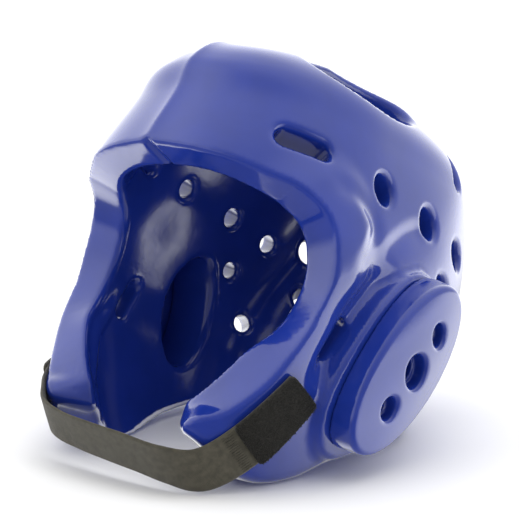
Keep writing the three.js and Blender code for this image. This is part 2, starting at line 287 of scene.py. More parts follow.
@dataclass(frozen=True)
class RestPose:
    """Lean and place of the head's frame when the guard rests."""

    pitch: float = math.radians(20.0)
    shift: float = -20.0
    lift: float = 97.0

    def matrix(self) -> Array:
        """Turn from the head's frame to the resting frame."""
        sin, cos = math.sin(self.pitch), math.cos(self.pitch)
        return np.array([[1.0, 0.0, 0.0], [0.0, cos, sin], [0.0, -sin, cos]])

    def place(self, points: Array) -> Array:
        """Move points from the head's frame to the resting frame."""
        return points @ self.matrix().T + np.array([0.0, self.shift, self.lift])

    def upright(self, points: Array) -> Array:
        """Move points from the resting frame to the head's frame."""
        return (points - np.array([0.0, self.shift, self.lift])) @ self.matrix()


@dataclass(frozen=True)
class Swell:
    """Oval rise of the outer face, placed in side view."""

    y: float
    z: float
    long: float
    short: float
    lean: float
    rise: float
    soft: float

    def height(self, points: Array) -> Array:
        """Give the rise at points of the head form.

        Args:
            points: Places in the head's frame.

        Returns:
            Rise at each place.
        """
        along, across = lean_axes(points, self.y, self.z, self.lean)
        far = np.hypot(along / self.long, across / self.short)
        return self.rise * smooth_step(1.0 - far, 0.0, self.soft)


@dataclass(frozen=True)
class Plinth:
    """Raised base of an ear pad in side view, from a foot oval up to a crest oval inside it.

    Each oval is given as its centre along the lean, its half length and its half width.
    """

    y: float
    z: float
    lean: float
    foot: tuple[float, float, float]
    crest: tuple[float, float, float]
    rise: float

    def share(self, points: Array) -> Array:
        """Give how far points of the head form are up the plinth, from 0 to 1.

        Args:
            points: Places in the head's frame.

        Returns:
            Shares of the rise.
        """
        along, across = lean_axes(points, self.y, self.z, self.lean)
        below = 1.0 - np.hypot((along - self.foot[0]) / self.foot[1], across / self.foot[2])
        beyond = np.hypot((along - self.crest[0]) / self.crest[1], across / self.crest[2]) - 1.0
        share = np.where(beyond <= 0.0, 1.0, below / np.maximum(below + beyond, TINY))
        return smooth_step(np.where(below <= 0.0, 0.0, share), 0.0, 1.0)


@dataclass(frozen=True)
class Valley:
    """Soft valley of the outer face along stops (y, z) in side view."""

    stops: tuple[tuple[float, float], ...]
    depth: float
    reach: float
    fade: float
    line_points: int = 24

    def height(self, points: Array) -> Array:
        """Give the fall at points of the head form, as a negative rise.

        Args:
            points: Places in the head's frame.

        Returns:
            Rise at each place, which is negative in the valley.
        """
        line = spline_points(np.array(self.stops), self.line_points)
        run = run_lengths(line)
        steps = np.diff(line, axis=0)
        lengths = np.diff(run)
        off = points[..., 1:].reshape(-1, 1, 2) - line[:-1]
        share = np.clip((off * steps).sum(axis=-1) / lengths**2, 0.0, 1.0)
        away = np.linalg.norm(off - share[..., None] * steps, axis=-1)
        nearest = np.argmin(away, axis=1)[:, None]
        place = np.take_along_axis(run[:-1] + share * lengths, nearest, 1)[:, 0]
        gap = np.take_along_axis(away, nearest, 1)[:, 0]
        depth = self.depth * smooth_step(np.minimum(place, run[-1] - place), 0.0, self.fade)
        fall = depth * np.exp(-((gap / self.reach) ** 2))
        return -fall.reshape(points.shape[:-1])


@dataclass(frozen=True)
class HeadForm:
    """Oval head form and the relief of its outer face.

    A level is a height, half width, front reach and back reach. How square the oval is goes by a power, given
    at the lowest level and at the top, with how late it passes from one to the other.
    """

    axis_y: float = 5.0
    levels: tuple[tuple[float, float, float, float], ...] = (
        (-155, 52, -54, 82),
        (-125, 69, -74, 95),
        (-95, 81, -88, 105),
        (-60, 90, -98, 115),
        (-25, 94, -106, 125),
        (10, 93, -107, 135),
        (45, 85, -98, 142),
        (78, 76.5, -85, 141),
        (98, 69, -80, 128),
        (114, 52.5, -60, 112),
        (124, 35, -13, 82),
        (128, 0, 5, 5),
    )
    outer_start: float = 0.7
    apex_trim: float = 0.12
    square_front: tuple[float, float, float] = (2.8, 1.7, 3.0)
    square_back: tuple[float, float, float] = (2.3, 4.0, 1.0)
    keel_rise: float = 3.0
    keel_reach: float = 9.5
    keel_fade: float = 70.0
    skin: float = 2.2
    lobe: Swell = Swell(y=-47, z=16, long=48, short=40, lean=20, rise=4, soft=0.5)
    jowl: Swell = Swell(y=-52, z=-46, long=42, short=32, lean=20, rise=2.4, soft=0.8)
    plinth: Plinth = Plinth(y=17, z=-38.5, lean=30, foot=(-1, 61, 36.5), crest=(0.5, 58, 33), rise=5.0)
    valleys: tuple[Valley, ...] = (
        Valley(((-52, 41), (-30, 40), (-17, 34), (-12, 27), (-17, 17), (-22, 6), (-27, -6)), 1.7, 6.0, 16.0),
        Valley(((-24, 0), (-4, 15), (17, 31), (32, 39), (50, 46)), 1.5, 6.0, 22.0),
        Valley(((-31, -66), (-28, -44), (-18, -20), (-3, 1), (14, 14)), 6.5, 8.5, 22.0),
    )
    cheek_pad: float = 3.0
    cheek_heights: tuple[float, float] = (-90.0, -42.0)
    cheek_depths: tuple[float, float] = (-20.0, 30.0)
    slope_step: float = 1e-3
    level_steps: int = 4001
    spot_steps: int = 2001

    @property
    def last(self) -> int:
        """Number of the top level."""
        return len(self.levels) - 1

    def level_at(self, v: Array) -> Array:
        """Read the smooth level table.

        Args:
            v: Row numbers, with fractions.

        Returns:
            Height, half width, front reach and back reach along the last axis.
        """
        rows = np.array(self.levels, dtype=float)
        above = 2 * rows[-1] - rows[-2]
        above[0] = rows[-2, 0]
        padded = np.vstack([2 * rows[0] - rows[1], rows, above])
        row = np.clip(np.floor(v).astype(int), 0, self.last - 1)
        return spline_value(padded, row, (v - row)[..., None])

    def row_of_height(self, height: Array) -> Array:
        """Find the row number of each height."""
        rows = np.linspace(0.0, float(self.last), self.level_steps)
        return np.interp(height, self.level_at(rows)[:, 0], rows)

    def point(self, phi: Array, v: Array) -> Array:
        """Give points of the plain form.

        Args:
            phi: Angles from the front towards the left.
            v: Row numbers.

        Returns:
            Points in the head's frame.
        """
        phi, v = np.broadcast_arrays(np.asarray(phi, dtype=float), np.asarray(v, dtype=float))
        height, half, front, back = np.moveaxis(self.level_at(v), -1, 0)
        ahead = np.cos(phi) >= 0
        low, high, ease = (np.where(ahead, *pair) for pair in zip(self.square_front, self.square_back))
        power = low + (high - low) * np.clip(v / self.last, 0.0, 1.0) ** ease
        reach = np.maximum(np.where(ahead, self.axis_y - front, back - self.axis_y), TINY)
        sideways = np.abs(np.sin(phi) / np.maximum(half, TINY)) ** power
        endways = np.abs(np.cos(phi) / reach) ** power
        radius = (sideways + endways) ** (-1.0 / power)
        return np.stack([radius * np.sin(phi), self.axis_y - radius * np.cos(phi), height], -1)

    def normal(self, phi: Array, v: Array) -> Array:
        """Give outward normals of the plain form.

        Args:
            phi: Angles from the front towards the left.
            v: Row numbers.

        Returns:
            Unit normals in the head's frame.
        """
        step = self.slope_step
        high = np.minimum(np.asarray(v, dtype=float) + step, self.last - step)
        level = np.minimum(v, high)
        low = np.maximum(level - step, 0.0)
        around = self.point(phi + step, level) - self.point(phi - step, level)
        upward = self.point(phi, high) - self.point(phi, low)
        return unit(np.cross(around, upward))

    def relief(self, points: Array) -> Array:
        """Give the rise of the outer face over the plain form.

        Args:
            points: Places of the plain form.

        Returns:
            Rise at each place.
        """
        keel = self.keel_rise * np.exp(-np.abs(points[..., 0]) / self.keel_reach)
        keel *= np.clip((self.axis_y - points[..., 1]) / self.keel_fade, 0.0, 1.0)
        on_plinth = self.plinth.share(points)
        falls = sum(valley.height(points) for valley in self.valleys) * (1.0 - on_plinth)
        rises = self.lobe.height(points) + self.jowl.height(points) + self.plinth.rise * on_plinth
        return self.skin + keel + rises + falls

    def cheek(self, points: Array) -> Array:
        """Give the extra thickness of the wall inside the cheeks.

        Args:
            points: Places of the plain form.

        Returns:
            Thickness at each place.
        """
        low = 1.0 - smooth_step(points[..., 2], *self.cheek_heights)
        ahead = 1.0 - smooth_step(points[..., 1], *self.cheek_depths)
        return self.cheek_pad * low * ahead

    def offset(self, phi: Array, v: Array, out: Array | float) -> Array:
        """Give points lying square off the plain form by a distance."""
        return self.point(phi, v) + self.normal(phi, v) * np.asarray(out, dtype=float)[..., None]

    def outer(self, phi: Array, v: Array, out: float = 0.0) -> Array:
        """Give points lying over the outer face by a distance."""
        return self.offset(phi, v, self.relief(self.point(phi, v)) + out)

    def side_spot(self, y: float, z: float) -> tuple[float, float]:
        """Find a place given in side view.

        Args:
            y: Depth of the place.
            z: Height of the place.

        Returns:
            Its angle and row.
        """
        v = float(self.row_of_height(np.array(z)))
        angles = np.linspace(0.0, math.pi, self.spot_steps)
        return float(np.interp(y, self.point(angles, np.full_like(angles, v))[:, 1], angles)), v

    def back_spot(self, x: float, z: float) -> tuple[float, float]:
        """Find a place given in back view.

        Args:
            x: Place across, on the left.
            z: Height of the place.

        Returns:
            Its angle and row.
        """
        v = float(self.row_of_height(np.array(z)))
        angles = np.linspace(math.pi, math.pi / 2, self.spot_steps)
        return float(np.interp(x, self.point(angles, np.full_like(angles, v))[:, 0], angles)), v

    def crown_spot(self, x: float, y: float) -> tuple[float, float]:
        """Find a place given in top view.

        Args:
            x: Place across.
            y: Depth of the place.

        Returns:
            Its angle and row.
        """
        phi = math.atan2(x, self.axis_y - y)
        rows = np.linspace(float(self.last), self.last / 2, self.spot_steps)
        points = self.point(np.full_like(rows, phi), rows)
        flat = np.hypot(points[:, 0], points[:, 1] - self.axis_y)
        return phi, float(np.interp(math.hypot(x, self.axis_y - y), flat, rows))

    def dome(self, inside: float | None, columns: int = 480, rows: int = 300) -> Surface:
        """Make the closed outer face, or the inner face at a depth.

        Args:
            inside: Depth of the inner face, or None for the outer face.
            columns: Points around.
            rows: Rings up the form.

        Returns:
            Closed surface in the head's frame.
        """
        start = self.outer_start if inside is None else 0.0
        v = np.linspace(start, self.last - self.apex_trim, rows)[:, None]
        phi = np.linspace(0.0, 2 * math.pi, columns, endpoint=False)[None, :]
        phi, v = np.broadcast_arrays(phi, v)
        if inside is None:
            body = self.outer(phi, v)
            rise = self.skin
        else:
            body = self.offset(phi, v, -inside - self.cheek(self.point(phi, v)))
            rise = -inside
        top = np.array([0.0, self.axis_y, self.levels[-1][0] + rise])
        hubs = np.vstack([body[0].mean(axis=0), top])
        i = np.arange(columns)
        j = (i + 1) % columns
        lower_hub = rows * columns
        last_ring = (rows - 1) * columns
        bottom = np.stack([np.full_like(i, lower_hub), j, i], -1)
        crown = np.stack([np.full_like(i, lower_hub + 1), i + last_ring, j + last_ring], -1)
        points = np.vstack([body.reshape(-1, 3), hubs])
        return Surface(points, ring_quads(rows, columns), np.vstack([bottom, crown]))


# Distance fields


class FoamField:
    """Box of voxels in the resting frame that holds distances in millimetres."""

    SLOPE_REACH = 0.75

    def __init__(self, low: Sequence[float], high: Sequence[float], voxel: float) -> None:
        """Lay out the voxels.

        Args:
            low: Lowest corner.
            high: Highest corner.
            voxel: Size of a voxel.
        """
        self.voxel = voxel
        self.first = np.floor(np.array(low) / voxel).astype(int)
        self.shape = tuple(int(n) for n in np.ceil(np.array(high) / voxel).astype(int) - self.first + 1)
        self.transform = openvdb.createLinearTransform(voxelSize=voxel)

    def points(self, window: Window | None = None) -> Array:
        """Give the places of the voxels.

        Args:
            window: Stretch of the voxels, or None for all of them.

        Returns:
            Places, with their coordinates along the last axis.
        """
        spans = window or tuple(slice(0, n) for n in self.shape)
        axes = [(np.arange(s.start, s.stop) + f) * self.voxel for s, f in zip(spans, self.first)]
        return np.stack(np.meshgrid(*axes, indexing="ij"), -1)

    def window(self, centre: Array, reach: float) -> Window:
        """Find the voxels round a centre.

        Args:
            centre: Middle of the stretch.
            reach: How far it goes along each axis.

        Returns:
            Stretch of the voxels.
        """
        low = np.floor((centre - reach) / self.voxel).astype(int) - self.first
        high = np.ceil((centre + reach) / self.voxel).astype(int) - self.first + 1
        bounds = zip(np.maximum(low, 0), np.minimum(high, self.shape))
        return tuple(slice(int(a), int(b)) for a, b in bounds)

    def distances(self, surface: Surface, band: float) -> Array:
        """Measure the signed distance to a closed surface.

        Args:
            surface: Surface in the resting frame.
            band: Distance beyond which values stop growing.

        Returns:
            Distances, negative inside.
        """
        grid = openvdb.FloatGrid.createLevelSetFromPolygons(
            surface.points.astype(np.float32),
            quads=surface.quads.astype(np.uint32),
            triangles=surface.triangles.astype(np.uint32),
            transform=self.transform,
            halfWidth=band / self.voxel,
        )
        values = np.zeros(self.shape, dtype=np.float32)
        grid.copyToArray(values, ijk=tuple(int(n) for n in self.first))
        return values.astype(np.float64)

    def sample(self, values: Array, points: Array) -> Array:
        """Read values between the voxels.

        Args:
            values: Values of the voxels.
            points: Places to read.

        Returns:
            Value at each place.
        """
        place = points / self.voxel - self.first
        base = np.clip(np.floor(place).astype(int), 0, np.array(self.shape) - 2)
        share = np.clip(place - base, 0.0, 1.0)
        total = np.zeros(len(points))
        for corner in np.ndindex(2, 2, 2):
            weight = np.prod(np.where(np.array(corner) == 1, share, 1.0 - share), axis=1)
            total += weight * values[tuple((base + np.array(corner)).T)]
        return total

    def gradient(self, values: Array, points: Array) -> Array:
        """Give the directions in which values rise.

        Args:
            values: Values of the voxels.
            points: Places to read.

        Returns:
            Unit slope at each place.
        """
        steps = self.SLOPE_REACH * self.voxel * np.eye(3)
        slopes = [self.sample(values, points + s) - self.sample(values, points - s) for s in steps]
        return unit(np.stack(slopes, -1))

    def skin(self, values: Array, settle: int = 2) -> tuple[Surface, Array]:
        """Draw the surface where the distance is zero.

        Args:
            values: Distances of the voxels.
            settle: Times that the points are drawn onto the zero level.

        Returns:
            Surface in the resting frame, and the normals of its points.
        """
        grid = openvdb.FloatGrid(float(values.max()))
        grid.copyFromArray(values.astype(np.float32), ijk=tuple(int(n) for n in self.first))
        grid.transform = self.transform
        points, quads = grid.convertToQuads(isovalue=0.0)
        points = points.astype(np.float64)
        for _ in range(settle):
            points -= self.gradient(values, points) * self.sample(values, points)[:, None]
        return Surface(points, quads.astype(np.int64)), self.gradient(values, points)


# Finishes


@dataclass(frozen=True)
class Grain:
    """Noise of a finish: its scale, its detail and the values between which it passes from dark to pale."""

    scale: float
    detail: float
    low: float = 0.0
    high: float = 1.0


@dataclass(frozen=True)
class Fade:
    """Smooth change from one level to another over a span."""

    span: tuple[float, float]
    levels: tuple[float, float]


class NodeTree:
    """Short way to lay out the nodes of a material or a world."""

    NOISE_ROUGHNESS = 0.55

    def __init__(self, tree: bpy.types.NodeTree) -> None:
        """Empty the tree and keep it."""
        self.tree = tree
        self.tree.nodes.clear()

    def add(self, kind: str, **values: object) -> bpy.types.Node:
        """Add a node.

        Args:
            kind: Blender's type name of the node.
            values: Properties of the node, or values of its inputs by name with spaces as underscores.

        Returns:
            The new node.
        """
        node = self.tree.nodes.new(kind)
        for key, value in values.items():
            socket = key.replace("_", " ")
            if hasattr(node, key):
                setattr(node, key, value)
            else:
                node.inputs[socket].default_value = value
        return node

    def join(self, source: bpy.types.NodeSocket, target: bpy.types.NodeSocket) -> None:
        """Link an output to an input."""
        self.tree.links.new(source, target)

    def ramp(
        self, factor: bpy.types.NodeSocket, grain: Grain, dark: Colour, pale: Colour
    ) -> bpy.types.NodeSocket:
        """Pass from a dark colour to a pale one.

        Args:
            factor: Socket that drives the change.
            grain: Grain with the values at which the change starts and ends.
            dark: Colour before it.
            pale: Colour after it.

        Returns:
            Socket with the colour.
        """
        node = self.add("ShaderNodeValToRGB")
        start, end = node.color_ramp.elements
        start.position, end.position = grain.low, grain.high
        start.color, end.color = dark, pale
        self.join(factor, node.inputs["Fac"])
        return node.outputs["Color"]

    def along(self, coordinates: bpy.types.NodeSocket, direction: Vector) -> bpy.types.NodeSocket:
        """Measure how far coordinates reach in a direction.

        Args:
            coordinates: Socket with the coordinates.
            direction: Unit direction.

        Returns:
            Socket with the reach.
        """
        node = self.add("ShaderNodeVectorMath", operation="DOT_PRODUCT")
        self.join(coordinates, node.inputs[0])
        node.inputs[1].default_value = direction
        return node.outputs["Value"]

    def ease(self, value: bpy.types.NodeSocket, fade: Fade) -> bpy.types.NodeSocket:
        """Pass smoothly from one level to another.

        Args:
            value: Socket that drives the change.
            fade: Span of the change, and the levels before and after it.

        Returns:
            Socket with the level.
        """
        node = self.add("ShaderNodeMapRange", interpolation_type="SMOOTHSTEP")
        self.join(value, node.inputs["Value"])
        node.inputs["From Min"].default_value, node.inputs["From Max"].default_value = fade.span
        node.inputs["To Min"].default_value, node.inputs["To Max"].default_value = fade.levels
        return node.outputs["Result"]

    def combine(self, operation: str, *values: bpy.types.NodeSocket | float) -> bpy.types.NodeSocket:
        """Work out one value from others.

        Args:
            operation: Blender's name of the sum.
            values: Sockets or plain numbers that go into it.

        Returns:
            Socket with the result.
        """
        node = self.add("ShaderNodeMath", operation=operation)
        for value, socket in zip(values, node.inputs):
            if isinstance(value, float):
                socket.default_value = value
            else:
                self.join(value, socket)
        return node.outputs["Value"]

    def noise(self, coordinates: bpy.types.NodeSocket, grain: Grain) -> bpy.types.NodeSocket:
        """Add a noise texture.

        Args:
            coordinates: Socket with the coordinates.
            grain: Scale and detail of the noise.

        Returns:
            Socket with the noise.
        """
        node = self.add("ShaderNodeTexNoise", Scale=grain.scale, Detail=grain.detail)
        node.inputs["Roughness"].default_value = self.NOISE_ROUGHNESS
        self.join(coordinates, node.inputs["Vector"])
        return node.outputs["Fac"]

    def bump(self, height: bpy.types.NodeSocket, strength: float, distance: float) -> bpy.types.NodeSocket:
        """Add a bump to the surface.

        Args:
            height: Socket with the height.
            strength: Strength of the bump.
            distance: Depth of the bump in metres.

        Returns:
            Socket with the normal.
        """
        node = self.add("ShaderNodeBump", Strength=strength, Distance=distance)
        self.join(height, node.inputs["Height"])
        return node.outputs["Normal"]


def new_material(name: str) -> tuple[bpy.types.Material, NodeTree, bpy.types.Node, bpy.types.Node]:
    """Start a material with a shader, an output and object coordinates.

    Args:
        name: Name of the material.

    Returns:
        The material, its nodes, its shader and its coordinates.
    """
    material = bpy.data.materials.new(name)
    material.use_nodes = True
    nodes = NodeTree(material.node_tree)
    output = nodes.add("ShaderNodeOutputMaterial")
    shader = nodes.add("ShaderNodeBsdfPrincipled")
    nodes.join(shader.outputs["BSDF"], output.inputs["Surface"])
    return material, nodes, shader, nodes.add("ShaderNodeTexCoord")


@dataclass(frozen=True)
class DippedVinyl:
    """Glossy vinyl skin dipped over foam."""

    deep: Colour = (0.0095, 0.028, 0.235, 1.0)
    light: Colour = (0.0125, 0.034, 0.285, 1.0)
    tint: Grain = Grain(22.0, 3.0, 0.35, 0.68)
    gloss_low: float = 0.1
    gloss_high: float = 0.16
    scuff: Grain = Grain(140.0, 5.0, 0.4, 0.75)
    ripple: Grain = Grain(320.0, 2.0)
    ripple_strength: float = 0.05
    ripple_depth: float = 0.0006
    specular: float = 0.5
    coat: float = 0.2
    coat_roughness: float = 0.05

    def material(self, name: str) -> bpy.types.Material:
        """Make the material.

        Args:
            name: Name of the material.

        Returns:
            The new material.
        """
        material, nodes, shader, places = new_material(name)
        spread = nodes.noise(places.outputs["Object"], self.tint)
        nodes.join(nodes.ramp(spread, self.tint, self.deep, self.light), shader.inputs["Base Color"])
        scuff = nodes.noise(places.outputs["Object"], self.scuff)
        smooth = (self.gloss_low,) * 3 + (1.0,)
        dull = (self.gloss_high,) * 3 + (1.0,)
        nodes.join(nodes.ramp(scuff, self.scuff, smooth, dull), shader.inputs["Roughness"])
        ripple = nodes.noise(places.outputs["Object"], self.ripple)
        skin = nodes.bump(ripple, self.ripple_strength, self.ripple_depth)
        nodes.join(skin, shader.inputs["Normal"])
        shader.inputs["Specular IOR Level"].default_value = self.specular
        shader.inputs["Coat Weight"].default_value = self.coat
        shader.inputs["Coat Roughness"].default_value = self.coat_roughness
        return material


@dataclass(frozen=True)
class Webbing:
    """Woven elastic webbing."""

    dark: Colour = (0.034, 0.03, 0.019, 1.0)
    pale: Colour = (0.078, 0.071, 0.048, 1.0)
    warp_scale: float = 900.0
    weft_scale: float = 1500.0
    worn: Grain = Grain(260.0, 6.0, 0.25, 0.75)
    weave_share: float = 0.16
    weave_strength: float = 0.35
    weave_depth: float = 0.0003
    roughness: float = 0.82
    sheen: float = 0.15
    sheen_roughness: float = 0.5

    def material(self, name: str) -> bpy.types.Material:
        """Make the material, whose weave follows the band's UV map in metres.

        Args:
            name: Name of the material.

        Returns:
            The new material.
        """
        material, nodes, shader, places = new_material(name)
        split = nodes.add("ShaderNodeSeparateXYZ")
        nodes.join(places.outputs["UV"], split.inputs["Vector"])
        waves = []
        for axis, scale in (("X", self.warp_scale), ("Y", self.weft_scale)):
            turn = nodes.combine("MULTIPLY", split.outputs[axis], scale * 2.0 * math.pi)
            waves.append(nodes.combine("SINE", turn))
        weave = nodes.combine("MULTIPLY", *waves)
        worn = nodes.noise(places.outputs["Object"], self.worn)
        blend = nodes.combine("MULTIPLY_ADD", weave, self.weave_share, worn)
        nodes.join(nodes.ramp(blend, self.worn, self.dark, self.pale), shader.inputs["Base Color"])
        nodes.join(nodes.bump(weave, self.weave_strength, self.weave_depth), shader.inputs["Normal"])
        shader.inputs["Roughness"].default_value = self.roughness
        shader.inputs["Sheen Weight"].default_value = self.sheen
        shader.inputs["Sheen Roughness"].default_value = self.sheen_roughness
        return material


@dataclass(frozen=True)
class LoopPile:
    """Near-black pile of a hook-and-loop tab, or its thread."""

    dark: Colour = (0.004, 0.0036, 0.0028, 1.0)
    pale: Colour = (0.026, 0.024, 0.019, 1.0)
    tufts: Grain = Grain(900.0, 4.0, 0.34, 0.72)
    tuft_strength: float = 0.6
    tuft_depth: float = 0.0006
    roughness: float = 0.95
    sheen: float = 0.15

    def material(self, name: str) -> bpy.types.Material:
        """Make the material.

        Args:
            name: Name of the material.

        Returns:
            The new material.
        """
        material, nodes, shader, places = new_material(name)
        tufts = nodes.noise(places.outputs["Object"], self.tufts)
        nodes.join(nodes.ramp(tufts, self.tufts, self.dark, self.pale), shader.inputs["Base Color"])
        nodes.join(nodes.bump(tufts, self.tuft_strength, self.tuft_depth), shader.inputs["Normal"])
        shader.inputs["Roughness"].default_value = self.roughness
        shader.inputs["Sheen Weight"].default_value = self.sheen
        return material


@dataclass(frozen=True)
class PaleFloor:
    """Plain matt studio floor."""

    dark: Colour = (0.86, 0.86, 0.87, 1.0)
    pale: Colour = (0.9, 0.9, 0.905, 1.0)
    mottle: Grain = Grain(3.0, 3.0, 0.3, 0.7)
    roughness: float = 0.8

    def material(self, name: str) -> bpy.types.Material:
        """Make the material.

        Args:
            name: Name of the material.

        Returns:
            The new material.
        """
        material, nodes, shader, places = new_material(name)
        mottle = nodes.noise(places.outputs["Object"], self.mottle)
        nodes.join(nodes.ramp(mottle, self.mottle, self.dark, self.pale), shader.inputs["Base Color"])
        shader.inputs["Roughness"].default_value = self.roughness
        return material


def settle_piece(piece: bpy.types.Object, material: bpy.types.Material, slot: str, *nodes: str) -> None:
    """Give a piece its material and body, and hide the nodes that it stands for.

    Args:
        piece: Piece to settle.
        material: Its material.
        slot: Not used.
        nodes: Nodes that the piece stands for.
    """
    piece.data.materials.append(material)
    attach(piece, BODY)
    if nodes:
        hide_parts(*nodes)


# Shell


@dataclass(frozen=True)
class Vent:
    """Slot or round hole through the wall, mirrored on both sides.

    A slant moves its inner mouth, and a taper narrows it.
    """

    at: tuple[float, float]
    length: float
    width: float
    turn: float = 0.0
    seen: SeenFrom = SeenFrom.SIDE
    slant: tuple[float, float, float] = (0.0, 0.0, 0.0)
    oval: bool = False
    edge: float = 3.0
    taper: float = 0.0


@dataclass(frozen=True)
class Shell:
    """Hollow foam shell with its openings.

    A face row is a height, how far its ends drop, its half angle in degrees and how much that widens outward.
    A rim row is an angle from the front in degrees and a height.
    """

    form: HeadForm
    pose: RestPose
    wall: float = 20.0
    voxel: float = 2.0
    band: float = 16.0
    margin: float = 12.0
    face_rows: tuple[tuple[float, float, float, float], ...] = (
        (-150, 0, 25, 8),
        (-98, 0, 28, 4),
        (-80, 0, 35, 12),
        (-60, 0, 46, 10),
        (-38, 0, 57, 2),
        (-12, 0, 62, 0),
        (16, 6, 61, 0),
        (34, 10, 56, 0),
        (44, 11, 46, 0),
    )
    face_edge: float = 2.0
    face_inner_edge: float = 4.0
    rim_rows: tuple[tuple[float, float], ...] = (
        (0, -94),
        (30, -98),
        (46, -111),
        (60, -115),
        (74, -110),
        (90, -97),
        (104, -87),
        (130, -73),
        (180, -65),
    )
    rim_inner_drop: float = 11.0
    rim_edge: float = 5.0
    floor_edge: float = 2.0
    vents: tuple[Vent, ...] = (
        Vent((-59, 59), 32, 11, -14, edge=3.5),
        Vent((-2, 53), 17, 17, taper=3),
        Vent((46, 48), 18, 18, taper=3),
        Vent((87, 40), 17, 17, taper=3),
        Vent((64, 14), 16, 16, taper=3),
        Vent((87, -23), 16, 16, taper=2.5),
        Vent((-26.5, -37), 26, 6.5, 63, slant=(0, 4, 7), edge=2.4, taper=-1),
        Vent((62, 41), 17, 17, seen=SeenFrom.BACK, slant=(-3, 0, 0), taper=-1),
        Vent((50, -6), 34, 9, 51, seen=SeenFrom.BACK, slant=(-6, 0, 0), taper=-1),
        Vent((64, 97), 33, 11, 120, seen=SeenFrom.BACK),
        Vent((25, -29), 74, 38, 83, slant=(0, 8, 4), oval=True),
    )
    crown_at: tuple[float, float] = (49, 5)
    crown_length: float = 92.0
    crown_width: float = 49.0
    crown_edge: float = 5.0
    cheek_bulge: float = 2.5
    bulge_heights: tuple[float, float] = (-45.0, -15.0)
    bulge_rise: tuple[float, float] = (4.0, 13.0)
    bulge_fall: tuple[float, float] = (13.9, 16.0)
    bulge_loss: float = 0.4
    notch_radius: float = 2.2
    notch_past: float = 3.0
    notch_edge: float = 1.5
    taper_span: tuple[float, float] = (-0.3, 1.2)
    box_margin: float = 6.0
    rim_steps: int = 400

    def face_cutter(self, rows: int = 96, columns: int = 64) -> Surface:
        """Make the body that the face opening takes out.

        Args:
            rows: Rings up the opening.
            columns: Steps across it.

        Returns:
            Closed surface in the resting frame.
        """
        stops = spline_points(np.array(self.face_rows, dtype=float), rows)
        across = np.linspace(-1.0, 1.0, columns)[None, :]
        height = stops[:, :1] - stops[:, 1:2] * across**2
        v = self.form.row_of_height(height)

        def sheet(out: float) -> Array:
            """Give the cutter's face at a distance from the form."""
            phi = np.radians(across * (stops[:, 2:3] + stops[:, 3:4] * out / self.wall))
            return self.form.offset(phi, v, np.full_like(v, out))

        outer = sheet(self.wall)
        inner = sheet(-self.wall - self.margin)
        rings = np.concatenate([outer, inner[:, ::-1]], axis=1)
        count = 2 * columns
        quads = np.vstack([ring_quads(rows, count), strip_caps(rows, count)])
        return Surface(self.pose.place(rings.reshape(-1, 3)), quads)

    def rim_cutter(self, columns: int = 320, rows: int = 10) -> Surface:
        """Make the ring that the lower rim takes off.

        Args:
            columns: Steps around.
            rows: Steps down.

        Returns:
            Closed surface in the resting frame.
        """
        table = np.array(self.rim_rows, dtype=float)
        angles, heights = spline_points(table, self.rim_steps).T
        phi = np.linspace(-math.pi, math.pi, columns, endpoint=False)[:, None]
        edge = np.interp(np.abs(np.degrees(phi)), angles, heights)
        down = np.linspace(0.0, 1.0, rows)[None, :]

        def sheet(out: float) -> Array:
            """Make one face of the ring.

            Args:
                out: Distance from the form.

            Returns:
                Points, one row for each step around.
            """
            top = self.form.row_of_height(edge + self.rim_inner_drop * out / self.wall)
            v = top * (1.0 - down)
            return self.form.offset(phi, v, np.full_like(v, out))

        rings = np.concatenate([sheet(self.margin), sheet(-self.wall - self.margin)[:, ::-1]], axis=1)
        return Surface(self.pose.place(rings.reshape(-1, 3)), ring_quads(columns, 2 * rows, loop=True))

    def vent_axes(self, vent: Vent) -> Axes:
        """Give the axes of a vent on the left side.

        Args:
            vent: Vent to place.

        Returns:
            Origin, length direction, width direction and wall normal.
        """
        turn = math.radians(vent.turn)
        if vent.seen is SeenFrom.SIDE:
            spot = self.form.side_spot(*vent.at)
            along = np.array([0.0, math.cos(turn), math.sin(turn)])
        else:
            spot = self.form.back_spot(*vent.at)
            along = np.array([math.cos(turn), 0.0, math.sin(turn)])
        return self.axes_at(spot, along)

    def axes_at(self, spot: tuple[float, float], along: Array) -> Axes:
        """Give axes at a place of the form.

        Args:
            spot: Angle and row of the place.
            along: Direction that the length is laid close to.

        Returns:
            Origin, length direction, width direction and wall normal.
        """
        phi, v = (np.array(value) for value in spot)
        normal = self.form.normal(phi, v)
        along = unit(along - normal * np.dot(along, normal))
        return self.form.point(phi, v), along, np.cross(normal, along), normal

    def vent_distance(self, vent: Vent, points: Array, axes: Axes) -> Array:
        """Measure the distance to a vent's bore.

        Args:
            vent: Vent to measure.
            points: Places in the head's frame, on the left.
            axes: Axes of the vent.

        Returns:
            Signed distance, negative in the bore.
        """
        origin, along, across, normal = axes
        away = points - origin
        depth = away @ normal
        drift = np.array(vent.slant) * (-depth / self.wall)[..., None]
        away = away - drift
        narrow = vent.taper * np.clip(-depth / self.wall, *self.taper_span)
        if vent.oval:
            bore = oval_distance(away @ along, away @ across, vent.length / 2, vent.width / 2)
        else:
            bore = pill_distance(away @ along, away @ across, vent.length, vent.width) + narrow
        return np.maximum(bore, np.abs(depth + self.wall / 2) - self.wall - self.margin)

